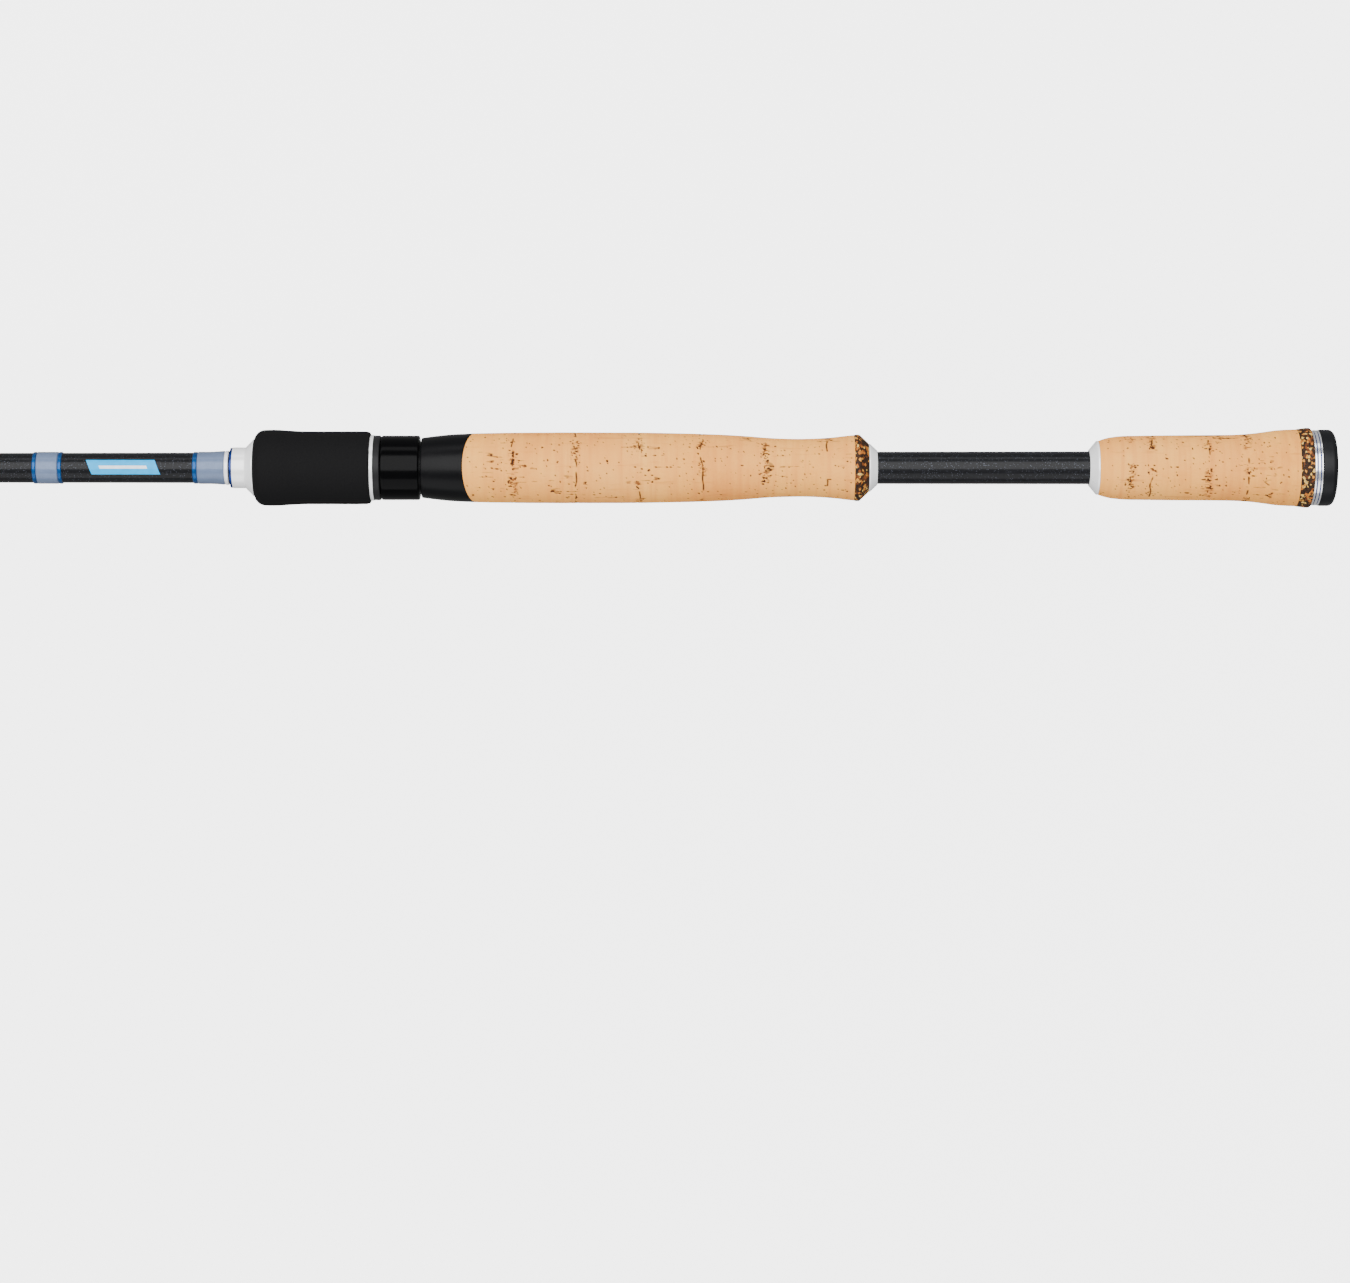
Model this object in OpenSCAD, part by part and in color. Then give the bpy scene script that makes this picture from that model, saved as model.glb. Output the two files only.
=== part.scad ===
// Two-piece spinning rod: a spigot ferrule, a locking foregrip and six line guides and a tip-top.
// The rod lies along X with its tip towards -X, and the guides and the reel side face -Z.
// The origin is the centre of the butt cap's rear face, and a station is a distance forward of it.

/* [Blank] */
// Station of the tip-top ring
rod_length = 2133; // [2131:0.5:2135]
// Station of the front end of the butt section
butt_length = 1066; // [1064:0.5:1068]
// Radius of the butt section at its rear end
butt_rear_r = 5.8; // [5.7:0.01:5.82]
// Radius of the butt section at the ferrule
butt_front_r = 4.33; // [4.3:0.01:4.4]
// Radius of the tip section at the ferrule
tip_rear_r = 4.12; // [4.1:0.01:4.2]
// Radius of the blank at the tip-top
tip_front_r = 0.73; // [0.7:0.01:0.74]

/* [Ferrule] */
// Bare spigot between the closed sections
ferrule_gap = 7.5; // [6:0.5:9]
// Radius of the spigot where it leaves the butt section
spigot_r = 3.4; // [3.38:0.01:3.42]
// Length of spigot inside the tip section
spigot_grip = 52; // [45:1:55]
// Length of spigot glued into the butt section
spigot_root = 60; // [50:1:65]
// Radial clearance of the spigot in the tip section
ferrule_fit = 0.05; // [0.03:0.01:0.09]

/* [Butt end] */
// Radius of the rubber cap
cap_r = 13.2; // [13:0.1:13.4]
// Length of the rubber cap
cap_length = 5.3; // [5:0.1:5.5]
// Radius of the rounded rear edge of the cap
cap_edge = 2; // [1.5:0.1:2.2]
// Front station of the aluminium ring ahead of the cap
butt_ring_end = 8.1; // [8:0.1:8.3]
// Front station of the burl cork ring
butt_burl_end = 12.8; // [12.5:0.1:13]

/* [Grips] */
// Front station of the rear cork grip
rear_grip_end = 81.1; // [81:0.1:81.4]
// Length of each tapered aluminium check
check_length = 3.2; // [3:0.1:3.4]
// Rear station of the aluminium check behind the main grip
mid_check_start = 157.4; // [157:0.1:157.8]
// Rear station of the main burl cork ring
main_burl_start = 160.4; // [160.3:0.1:160.5]
// Rear station of the main cork grip
main_grip_start = 165.4; // [165:0.1:165.8]
// Station of the slanted front face of the cork at the rod's axis
slant_station = 296; // [295:0.5:297]
// Slant of that face
slant_angle = 19.2; // [17:0.1:21]

/* [Reel seat] */
// Rear station of the seat body
seat_start = 256; // [255:0.5:257]
// Station of the fixed hood's mouth
fixed_mouth = 274; // [272:0.5:276]
// Front station of the flared part of the body
flare_end = 314.6; // [314.4:0.1:314.8]
// Front station of the threaded barrel
barrel_end = 360; // [358:0.5:360]
// Radius of the barrel's thread crests
thread_r = 9.1; // [9:0.05:9.1]
// Pitch of the barrel's thread
thread_pitch = 2.5; // [2.5:0.5:3]
// Distance of the flat bed from the rod's axis
bed_depth = 8.4; // [8.3:0.1:8.5]
// Width of the bed
bed_width = 16; // [15:0.5:16.5]
// Bore of the seat body
seat_bore_r = 7.2; // [7:0.1:7.3]

/* [Locking foregrip] */
// Rear station of the sliding hood
hood_start = 315.3; // [315.2:0.1:315.5]
// Front station of the sliding hood
hood_end = 328.4; // [328.2:0.1:328.4]
// Front station of the nut's flange
flange_end = 331; // [330.8:0.1:331.2]
// Rear station of the foam grip
foam_start = 332.2; // [332:0.1:332.4]
// Front station of the foam grip
foam_end = 372.3; // [371:0.1:373]
// Front station of the nut's sleeve
nut_end = 352; // [350:0.5:352]
// Bore of the parts that travel over the front wrap
travel_bore_r = 6.4; // [6.35:0.05:6.45]

/* [Guides] */
// Distances of the guide rings behind the tip-top ring, from the tip
guide_spots = [96, 202, 326, 464, 620, 808];
// Outer diameters of the guide rings
ring_sizes = [5.2, 5.2, 5.3, 8, 15, 25.7];
// Depths of the ring centres below the blank's underside
ring_drops = [4.3, 4.3, 4.3, 9, 21, 38.7];
// Distances of the rings ahead of their thread wraps
ring_leads = [1, 1, 1, 3, 8, 14.7];
// Lengths of the guides' thread wraps
wrap_lengths = [10, 10.5, 10.5, 13, 17, 23];
// Outer diameter of the tip-top ring
tip_ring_size = 5.4; // [5.2:0.1:5.6]
// Forward lean of the rings' lower edges
ring_tilt = 4.3; // [0:0.1:6]

/* [Hidden] */
$fn = 96;
GUIDES = len(guide_spots);

// Gap that stands for a glue line, and the size of a block that clears the handle.
glue = 0.03;
far = 60;

// Ends of the two blanks.
tip_start = butt_length + ferrule_gap;
blank_start = 2.5;
blank_end = rod_length - 4;

// Rear end: the plug of the cap, the groove of its ring and the swell of the burl ring.
plug_length = 9;
groove_depth = 0.35;
groove_half = 0.2;
burl_r = 13.8;

// Grips and checks: the cork rings and the wide ends of the turned parts.
rear_rings = 6;
main_rear_rings = 7;
main_front_rings = 4;
main_grip_end = 301;
rear_check_r = 9.3;
mid_check_r = 8.3;
main_burl_r = 11.55;

// Reel seat: the tube under the cork, the bed, the barrel's root and the hoods' foot pockets.
seat_tube_r = 9.5;
seat_tube_end = 310;
bed_block = 4;
thread_root_r = 8.75;
pocket_width = 15.2;
pocket_depth = 13.1;
pocket_run = 9.7;
hood_r = 11.13;
hood_bulge = 14.5;
hood_wall = 1.3;
bulge_corner = 2.6;
hood_bore_r = thread_r + 0.3;
key_slot_width = 2.2;
key_slot_depth = 8.2;
key_width = 1.5;

// Bushes between the blank and the seat.
arbor_starts = [262, 303, 346];
arbor_length = 10;

// Locking foregrip: the nut's sleeve, the foam's largest radii and the front check.
nut_sleeve_r = 10.4;
nut_ring_r = 11.3;
foam_r = 12.42;
foam_swell_r = 12.85;
foam_bore_r = 9.6;
barrel_room = 1.5;
check_flange_r = 9.8;
check_sleeve_r = 7.3;
cylinder_r = 7.02;
cylinder_start = foam_end + 2.7;
cylinder_end = cylinder_start + 4.8;
accent_length = 0.8;

// Thread bands, from the seat to the ferrule.
wrap_start = 381;
wrap_end = 391.9;
trim_end = 393.5;
badge_start = 404.4;
badge_end = 430;
badge_width = 5.6;
deco_start = 438.5;
deco_end = 448.7;
deco_trim = 1.4;
ferrule_wrap = 12.1;
ferrule_trim = 1.4;
ferrule_trim_inset = 0.7;
stripper_trim = 1.3;

// Guides: the spread of the legs on the ring, and the build of thread over a foot.
leg_spread = 32;
guide_build = 0.32;
stripper_build = 0.38;

// Tip-top: the ring's drop and lean, and its tube.
tip_ring_drop = 3.4;
tip_tilt = 12;
tube_front = 3.1;
tube_rear = 12.5;
tube_r = 0.95;
tip_wrap_start = rod_length - 22.2;

black = "#17181b";
satin_black = "#222326";
blank_grey = "#2b2b30";
blank_brown = "#3d3832";
thread_grey = "#a8b0be";
trim_blue = "#1f6fb4";
cork_tan = "#e4ba8c";
burl_brown = "#80583a";
bright_metal = "#d9dadb";
ceramic_grey = "#3a3c42";
nut_grey = "#3b3b3d";
arbor_tan = "#cfc7b0";
badge_cyan = "#19a7de";

// Radius of the butt section at a station.
function butt_r(s) = lookup(s, [[0, butt_rear_r], [butt_length, butt_front_r]]);

// Bore radius of the butt section at a station.
function butt_bore_r(s) = butt_r(s) - lookup(s, [[0, 1.35], [butt_length, 0.86]]);

// Radius of the tip section at a station: a slow, a faster and again a slow taper.
function tip_r(s) = lookup(s, [
    [tip_start, tip_rear_r], [1375, 3.68], [1500, 3.02], [1788, 1.32], [blank_end, tip_front_r]
]);

// Radius of the spigot's free end at a station.
function spigot_free_r(s) = spigot_r - 0.0033 * (s - butt_length);

// Outer radius of the rear cork grip at a station: a swelled butt and a rounded front.
function rear_grip_r(s) = lookup(s, [
    [12.8, 13.3], [16, 13.2], [20, 12.9], [24, 12.4], [28.6, 11.8], [33, 11.5], [38, 11.4],
    [55, 11.25], [72, 11.0], [76, 10.6], [79.4, 9.75], [81.1, 9.3]
]);

// Outer radius of the main cork grip at a station: a waist and a full front.
function main_grip_r(s) = lookup(s, [
    [165.4, 11.3], [170, 10.85], [175.3, 10.35], [180, 10.1], [184, 10.0], [188, 10.05],
    [192.5, 10.2], [201, 10.85], [210, 11.4], [218, 11.72], [227, 11.95], [236, 12.15],
    [250, 12.2], [270, 12.25], [287, 12.1], [302, 11.8]
]);

// Outer radius of the seat body's flare at a station.
function flare_r(s) = lookup(s, [[280, 12.1], [296, 11.9], [304.6, 11.55], [flare_end, 10.4]]);

// Points of an arc in a turned outline: a rounded edge about centre.
function arc(centre, r, from, to, steps = 6) = [
    for (i = [0:steps])
        let (a = from + (to - from) * i / steps)
        centre + r * [cos(a), sin(a)]
];

// Evenly spaced stations, both ends included.
function spaced(from, to, steps) = [for (i = [0:steps]) from + (to - from) * i / steps];

// Puts local +Z along the rod towards the tip and local +X up.
module along(station = 0) {
    translate([-station, 0, 0])
        rotate([0, -90, 0])
            children();
}

// A solid of revolution about the rod's axis, from [radius, station] points.
module turned(points) {
    along()
        rotate_extrude()
            polygon(points);
}

// A conical sleeve about the rod's axis.
module sleeve(from, to, outer_from, outer_to, bore_from, bore_to) {
    turned([[bore_from, from], [outer_from, from], [outer_to, to], [bore_to, to]]);
}

// A thread band with softly rounded ends, wound on the butt section.
module butt_band(from, to, build) {
    sleeve(from, to, butt_r(from) + build, butt_r(to) + build, butt_r(from) + glue, butt_r(to) + glue);
}

// The same on the tip section.
module tip_band(from, to, build) {
    sleeve(from, to, tip_r(from) + build, tip_r(to) + build, tip_r(from) + glue, tip_r(to) + glue);
}

// A straight twelve-sided bar between two points, run on at both ends so that bars meet.
module bar(a, b, r) {
    run = b - a;
    length = norm(run);
    translate(a)
        rotate([0, acos(run.z / length), atan2(run.y, run.x)])
            translate([0, 0, -0.4 * r])
                cylinder(h = length + 0.8 * r, r = r, $fn = 12);
}

// Everything ahead of the slanted plane between the cork and the seat body.
module ahead_of_slant(shift = 0) {
    translate([-slant_station - shift, 0, 0])
        rotate([0, -slant_angle, 0])
            translate([-far, -far / 2, -far / 2])
                cube(far);
}

// Everything behind that plane.
module behind_slant(shift = 0) {
    translate([-slant_station - shift, 0, 0])
        rotate([0, -slant_angle, 0])
            translate([0, -far / 2, -far / 2])
                cube(far);
}

// A block on the reel side between two stations, from one depth below the axis to another.
module reel_block(from, to, width, top, bottom) {
    translate([-to, -width / 2, -bottom])
        cube([to - from, width, bottom - top]);
}

// Rounded bulge of a hood, which takes the reel's foot on the reel side.
module hood_bulge_block(from, to) {
    half = pocket_width / 2 + hood_wall;
    corner = [-hood_bulge + bulge_corner, half - bulge_corner];
    along(from)
        linear_extrude(to - from)
            polygon(concat(
                [[-bed_block, -half]],
                arc([corner.x, -corner.y], bulge_corner, -90, -180),
                arc(corner, bulge_corner, 180, 90),
                [[-bed_block, half]]
            ));
}

module butt_cap() {
    color(black) {
        difference() {
            turned(concat(
                [[0, 0]],
                arc([cap_r - cap_edge, cap_edge], cap_edge, -90, 0),
                [[cap_r, cap_length], [0, cap_length]]
            ));
            along(blank_start)
                cylinder(h = cap_length, r = butt_rear_r + glue);
        }
        along(blank_start - 0.01)
            cylinder(h = plug_length, r = butt_bore_r(blank_start + plug_length) - glue);
    }
}

module butt_trim_ring() {
    middle = (cap_length + butt_ring_end) / 2;
    ring_r = cap_r - 0.2;
    color(bright_metal)
        turned([
            [butt_rear_r + glue, cap_length], [ring_r, cap_length],
            [ring_r, middle - groove_half - 0.1], [ring_r - groove_depth, middle - groove_half],
            [ring_r - groove_depth, middle + groove_half], [ring_r, middle + groove_half + 0.1],
            [ring_r, butt_ring_end], [butt_rear_r + glue, butt_ring_end]
        ]);
}

module butt_burl_ring() {
    color(burl_brown)
        turned([
            [butt_rear_r + glue, butt_ring_end], [burl_r - 0.2, butt_ring_end],
            [burl_r, butt_ring_end + 0.4], [burl_r - 0.05, butt_ring_end + 1.8],
            [burl_r - 0.5, butt_burl_end], [butt_rear_r + glue, butt_burl_end]
        ]);
}

// One ring of cork, its outside following the grip's outline.
module rear_cork(from, to) {
    steps = 4;
    turned(concat(
        [[butt_r(from) + glue, from]],
        [for (s = spaced(from, to, steps)) [rear_grip_r(s), s]],
        [[butt_r(to) + glue, to]]
    ));
}

module rear_grip_cork() {
    pitch = (rear_grip_end - butt_burl_end) / rear_rings;
    color(cork_tan)
        for (i = [0:rear_rings - 1])
            rear_cork(butt_burl_end + i * pitch, butt_burl_end + (i + 1) * pitch);
}

module rear_check() {
    end = rear_grip_end + check_length;
    color(bright_metal)
        turned(concat(
            [[butt_r(rear_grip_end) + glue, rear_grip_end], [rear_check_r, rear_grip_end]],
            [[rear_check_r, rear_grip_end + 0.5], [6.5, end - 0.2], [6.3, end]],
            [[butt_r(end) + glue, end]]
        ));
}

module butt_blank() {
    color(blank_grey)
        turned([
            [butt_bore_r(blank_start), blank_start], [butt_r(blank_start), blank_start],
            [butt_r(butt_length), butt_length], [butt_bore_r(butt_length), butt_length]
        ]);
}

module spigot() {
    start = butt_length - spigot_root;
    end = tip_start + spigot_grip;
    color(blank_brown)
        turned([
            [0, start], [butt_bore_r(start) - glue, start],
            [butt_bore_r(butt_length) - glue, butt_length],
            [spigot_free_r(butt_length), butt_length + 0.01],
            [spigot_free_r(end - 1), end - 1], [spigot_free_r(end) - 0.6, end], [0, end]
        ]);
}

module mid_check() {
    end = main_burl_start;
    color(bright_metal)
        turned([
            [butt_r(mid_check_start) + glue, mid_check_start], [6.0, mid_check_start],
            [mid_check_r, end - 0.4], [mid_check_r, end], [butt_r(end) + glue, end]
        ]);
}

module main_burl_ring() {
    color(burl_brown)
        turned([
            [butt_r(main_burl_start) + glue, main_burl_start], [mid_check_r + 0.2, main_burl_start],
            [main_burl_r - 0.15, main_burl_start + 3.1], [main_burl_r, main_burl_start + 3.6],
            [main_burl_r - 0.15, main_grip_start], [butt_r(main_grip_start) + glue, main_grip_start]
        ]);
}

// One ring of cork on the main grip, bored for the blank or for the seat's tube.
module main_cork(from, to, bore_from, bore_to) {
    steps = 4;
    turned(concat(
        [[bore_from, from]],
        [for (s = spaced(from, to, steps)) [main_grip_r(s), s]],
        [[bore_to, to]]
    ));
}

module main_grip_cork() {
    rear_pitch = (seat_start - main_grip_start) / main_rear_rings;
    front_pitch = (main_grip_end - seat_start) / main_front_rings;
    bed_end = main_grip_end + 4;
    below = pocket_depth + 3;
    color(cork_tan) {
        for (i = [0:main_rear_rings - 1]) {
            from = main_grip_start + i * rear_pitch;
            to = from + rear_pitch;
            main_cork(from, to, butt_r(from) + glue, butt_r(to) + glue);
        }
        difference() {
            for (i = [0:main_front_rings - 1]) {
                from = seat_start + i * front_pitch;
                main_cork(from, from + front_pitch, seat_tube_r + glue, seat_tube_r + glue);
            }
            ahead_of_slant(-glue);
            reel_block(seat_start - 1, fixed_mouth, pocket_width + 3, bed_block - glue, below);
            reel_block(fixed_mouth - 1, bed_end, bed_width + 2 * glue, bed_block - glue, below);
            reel_block(fixed_mouth - 1, bed_end, far, bed_depth, below);
        }
    }
}

// Thread of the barrel, as rings of the true pitch and depth.
function thread_points(from, to, root, crest, pitch) = [
    for (s = [from:pitch:to - pitch])
        each [[root, s], [root, s + 0.3 * pitch], [crest, s + 0.5 * pitch], [crest, s + 0.8 * pitch]]
];

module reel_seat_body() {
    flare_start = 285;
    barrel_start = seat_tube_end - 2;
    color(satin_black)
        difference() {
            union() {
                turned([
                    [0, seat_start], [seat_tube_r, seat_start],
                    [seat_tube_r, seat_tube_end], [0, seat_tube_end]
                ]);
                difference() {
                    turned(concat(
                        [[0, flare_start]],
                        [for (s = spaced(flare_start, flare_end, 8)) [flare_r(s), s]],
                        [[0, flare_end]]
                    ));
                    behind_slant();
                }
                turned(concat(
                    [[0, barrel_start], [thread_root_r, barrel_start]],
                    thread_points(flare_end + 1.4, barrel_end - 0.5, thread_root_r, thread_r, thread_pitch),
                    [[thread_root_r, barrel_end], [0, barrel_end]]
                ));
                reel_block(seat_start, main_grip_end - 1, bed_width, bed_block, bed_depth + 1);
                hood_bulge_block(seat_start, fixed_mouth);
            }
            along(seat_start - 1)
                cylinder(h = barrel_end - seat_start + 2, r = seat_bore_r);
            reel_block(fixed_mouth, barrel_end + 1, far, bed_depth, far / 3);
            reel_block(fixed_mouth - pocket_run, fixed_mouth + 1, pocket_width, bed_depth, pocket_depth);
            translate([-barrel_end - 1, -key_slot_width / 2, key_slot_depth])
                cube([barrel_end - flare_end + 0.8, key_slot_width, 2]);
        }
}

module seat_arbors() {
    color(arbor_tan)
        for (s = arbor_starts)
            sleeve(
                s, s + arbor_length, seat_bore_r - glue, seat_bore_r - glue,
                butt_r(s) + glue, butt_r(s + arbor_length) + glue
            );
}

module sliding_hood() {
    edge = 0.4;
    length = hood_end - hood_start;
    color(black)
        difference() {
            union() {
                difference() {
                    union() {
                        turned([
                            [0, hood_start], [hood_r - edge, hood_start], [hood_r, hood_start + edge],
                            [hood_r, hood_end - edge], [hood_r - edge, hood_end], [0, hood_end]
                        ]);
                        hood_bulge_block(hood_start + edge / 2, hood_end - edge / 2);
                    }
                    along(hood_start - 1)
                        cylinder(h = length + 2, r = hood_bore_r);
                }
                translate([-hood_end + edge, -key_width / 2, key_slot_depth + 0.35])
                    cube([length - 2 * edge, key_width, 1.6]);
            }
            reel_block(
                hood_start - 1, hood_start + pocket_run, pocket_width, bed_depth - 1.4, pocket_depth
            );
        }
}

module lock_nut() {
    start = hood_end + 0.3;
    color(nut_grey)
        turned([
            [hood_bore_r, start], [hood_r - 0.2, start], [hood_r + 0.05, start + 0.3],
            [hood_r + 0.05, flange_end], [nut_sleeve_r, flange_end],
            [nut_sleeve_r, nut_end], [hood_bore_r, nut_end]
        ]);
}

module nut_trim_ring() {
    color(bright_metal)
        sleeve(
            flange_end, foam_start, nut_ring_r, nut_ring_r, nut_sleeve_r + glue, nut_sleeve_r + glue
        );
}

module foregrip_foam() {
    nose = 4.2;
    color(black)
        turned(concat(
            [[nut_sleeve_r + glue, foam_start], [foam_r - 0.72, foam_start]],
            [[foam_r - 0.12, foam_start + 0.6], [foam_r, foam_start + 3]],
            [[foam_r, foam_end - 18], [foam_swell_r, foam_end - 9]],
            [[foam_swell_r, foam_end - nose], [12.6, foam_end - 2.4], [12.05, foam_end - 1.1]],
            [[11.2, foam_end - 0.35], [10.2, foam_end], [check_sleeve_r, foam_end]],
            [[check_sleeve_r, barrel_end + barrel_room], [foam_bore_r, barrel_end + barrel_room]],
            [[foam_bore_r, nut_end + glue], [nut_sleeve_r + glue, nut_end + glue]]
        ));
}

module front_check() {
    sleeve_length = 8;
    color(bright_metal)
        turned([
            [travel_bore_r, foam_end - sleeve_length], [check_sleeve_r - glue, foam_end - sleeve_length],
            [check_sleeve_r - glue, foam_end], [check_flange_r, foam_end],
            [check_flange_r, foam_end + 0.5], [cylinder_r + 0.5, cylinder_start],
            [cylinder_r, cylinder_start + 0.3], [cylinder_r, cylinder_end], [travel_bore_r, cylinder_end]
        ]);
}

module accent_ring() {
    color(trim_blue)
        sleeve(
            cylinder_end, cylinder_end + accent_length,
            cylinder_r - 0.07, cylinder_r - 0.17, travel_bore_r, travel_bore_r
        );
}

module seat_wrap() {
    color(thread_grey)
        turned([
            [butt_r(wrap_start) + glue, wrap_start], [6.0, wrap_start], [5.87, wrap_start + 1.6],
            [butt_r(wrap_end) + 0.3, wrap_end], [butt_r(wrap_end) + glue, wrap_end]
        ]);
}

module seat_wrap_trim() {
    color(trim_blue)
        butt_band(wrap_end, trim_end, 0.25);
}

module blank_badge() {
    color(badge_cyan)
        intersection() {
            butt_band(badge_start, badge_end, 0.12);
            translate([-badge_end, -badge_width / 2, 0])
                cube([badge_end - badge_start, badge_width, far]);
        }
}

module deco_wrap() {
    color(thread_grey)
        butt_band(deco_start + deco_trim, deco_end - deco_trim, 0.34);
}

module deco_trims() {
    color(trim_blue)
        for (s = [deco_start, deco_end - deco_trim])
            butt_band(s, s + deco_trim, 0.34);
}

module butt_ferrule_wrap() {
    rear = butt_length - ferrule_wrap;
    trim_front = rear + ferrule_trim_inset + ferrule_trim;
    color(thread_grey) {
        butt_band(rear, rear + ferrule_trim_inset, 0.35);
        butt_band(trim_front, butt_length - 0.2, 0.42);
    }
}

module butt_ferrule_trims() {
    rear = butt_length - ferrule_wrap + ferrule_trim_inset;
    color(trim_blue)
        butt_band(rear, rear + ferrule_trim, 0.44);
}

module tip_ferrule_wrap() {
    front = tip_start + ferrule_wrap;
    trim_rear = front - ferrule_trim_inset - ferrule_trim;
    color(thread_grey) {
        tip_band(tip_start + 0.2, trim_rear, 0.5);
        tip_band(front - ferrule_trim_inset, front, 0.4);
    }
}

module tip_ferrule_trims() {
    front = tip_start + ferrule_wrap - ferrule_trim_inset;
    color(trim_blue)
        tip_band(front - ferrule_trim, front, 0.5);
}

module tip_blank() {
    socket_end = tip_start + spigot_grip + 4;
    wall_end = 1900;
    stations = [1375, 1500, 1788];
    color(blank_brown)
        turned(concat(
            [[spigot_free_r(tip_start) + ferrule_fit, tip_start]],
            [for (s = concat([tip_start], stations, [blank_end])) [tip_r(s), s]],
            [[0, blank_end], [0, wall_end], [0.55, 1788], [2.3, 1500], [2.95, 1375]],
            [[spigot_free_r(socket_end) + ferrule_fit, socket_end]]
        ));
}

function ring_station(i) = rod_length - guide_spots[i];
function wrap_front(i) = ring_station(i) - ring_leads[i];
function wrap_rear(i) = wrap_front(i) - wrap_lengths[i];
function ring_centre_z(i) = -tip_r(ring_station(i)) - ring_drops[i];
function band_w(size) = 1.3 + size / 18;
function band_t(size) = 0.3 + size / 34;
function insert_t(size) = 0.55 + size / 22;
function foot_t(size) = 0.45 + size / 60;
function foot_w(size) = 0.9 + size / 9;
function leg_r(size) = 0.28 + size / 44;

// Puts a ring, drawn flat about its own centre, at a station and height with its tilt.
module at_ring(station, z, tilt) {
    translate([-station, 0, z])
        rotate([0, -90 + tilt, 0])
            children();
}

// Metal band that holds a ceramic ring.
module ring_band(size) {
    w = band_w(size);
    t = band_t(size);
    rotate_extrude()
        translate([size / 2 - t, -w / 2])
            polygon([[0, 0], [t * 0.6, 0], [t, w * 0.25], [t, w * 0.75], [t * 0.6, w], [0, w]]);
}

// Room for the ceramic inside a band.
module ring_room(size) {
    depth = 3 * band_w(size);
    cylinder(h = depth, r = size / 2 - band_t(size), center = true);
}

// Ceramic ring with a rounded line surface.
module ring_insert(size) {
    w = band_w(size) + 0.5;
    outer = size / 2 - band_t(size) - glue;
    inner = outer - insert_t(size);
    nose = w / 2;
    bow = min(insert_t(size) * 0.7, nose);
    rotate_extrude()
        polygon(concat(
            [[outer, -nose]],
            [for (a = [-90:30:90]) [inner + bow - bow * cos(a), nose * sin(a)]],
            [[outer, nose]]
        ));
}

module guide_frame(i) {
    size = ring_sizes[i];
    thick = foot_t(size);
    front = wrap_front(i);
    under = -tip_r(front) - glue - thick;
    knee = [-front - ring_leads[i] * 0.37, 0, under - ring_drops[i] * 0.17];
    reach = size / 2 - band_t(size) / 2;
    heel_lead = leg_r(size) + 0.1;
    color(bright_metal) {
        at_ring(ring_station(i), ring_centre_z(i), ring_tilt)
            ring_band(size);
        translate([-front - 1.7 * heel_lead, -foot_w(size) / 2, under])
            cube([wrap_lengths[i] - 1.6, foot_w(size), thick]);
        for (side = [-1, 1]) {
            heel = [-front - heel_lead, side * foot_w(size) * 0.28, under + thick / 2];
            bend = knee + [0, side * size * 0.09, 0];
            drop = reach * cos(leg_spread);
            eye = [
                -ring_station(i) + drop * sin(ring_tilt), side * reach * sin(leg_spread),
                ring_centre_z(i) + drop * cos(ring_tilt)
            ];
            difference() {
                union() {
                    bar(heel, bend, leg_r(size));
                    bar(bend, eye, leg_r(size));
                }
                at_ring(ring_station(i), ring_centre_z(i), ring_tilt)
                    ring_room(size);
            }
        }
    }
}

module guide_ring(i) {
    color(ceramic_grey)
        at_ring(ring_station(i), ring_centre_z(i), ring_tilt)
            ring_insert(ring_sizes[i]);
}

// Thread over the blank and the guide's foot, bored for the blank and slotted for the foot.
module guide_wrap(i) {
    size = ring_sizes[i];
    thick = foot_t(size);
    front = wrap_front(i);
    rear = wrap_rear(i);
    trim = i == GUIDES - 1 ? stripper_trim : 0;
    color(thread_grey)
        difference() {
            translate([-rear - trim, 0, -thick / 2])
                rotate([0, -90, 0])
                    cylinder(
                        h = front - rear - 2 * trim,
                        r1 = tip_r(rear) + thick / 2 + guide_build,
                        r2 = tip_r(front) + thick / 2 + guide_build
                    );
            guide_hollow(i);
        }
}

// Room for the blank and the foot inside a guide's thread.
module guide_hollow(i) {
    size = ring_sizes[i];
    thick = foot_t(size);
    front = wrap_front(i);
    rear = wrap_rear(i);
    sleeve(rear - 1, front + 1, tip_r(rear - 1) + glue, tip_r(front + 1) + glue, 0, 0);
    translate([-front - 1, -foot_w(size) / 2 - glue, -tip_r(front) - thick - 2 * glue])
        cube([wrap_lengths[i], foot_w(size) + 2 * glue, thick + 4 * glue]);
}

module stripper_trims() {
    i = GUIDES - 1;
    thick = foot_t(ring_sizes[i]);
    color(trim_blue)
        difference() {
            for (s = [wrap_rear(i), wrap_front(i) - stripper_trim])
                translate([-s, 0, -thick / 2])
                    rotate([0, -90, 0])
                        cylinder(h = stripper_trim, r = tip_r(s) + thick / 2 + stripper_build);
            guide_hollow(i);
        }
}

module tip_top_frame() {
    ring_z = -tip_ring_drop;
    reach = tip_ring_size / 2 - band_t(tip_ring_size) / 2;
    color(bright_metal) {
        difference() {
            along(rod_length - tube_rear)
                cylinder(h = tube_rear - tube_front, r = tube_r, $fn = 48);
            along(rod_length - tube_rear - 1)
                cylinder(h = blank_end - rod_length + tube_rear + 1.05, r = tip_front_r + 0.04, $fn = 48);
        }
        at_ring(rod_length, ring_z, tip_tilt)
            ring_band(tip_ring_size);
        difference() {
            union() {
                bar(
                    [-rod_length + tube_front + 0.4, 0, 0.4],
                    [-rod_length + reach * sin(tip_tilt), 0, ring_z + reach * cos(tip_tilt)], 0.35
                );
                for (side = [-1, 1])
                    bar(
                        [-rod_length + 10.1, side * 0.5, -0.75],
                        [-rod_length + 0.4, side * reach * 0.92, ring_z - 0.5], 0.3
                    );
            }
            at_ring(rod_length, ring_z, tip_tilt)
                ring_room(tip_ring_size);
        }
    }
}

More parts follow.
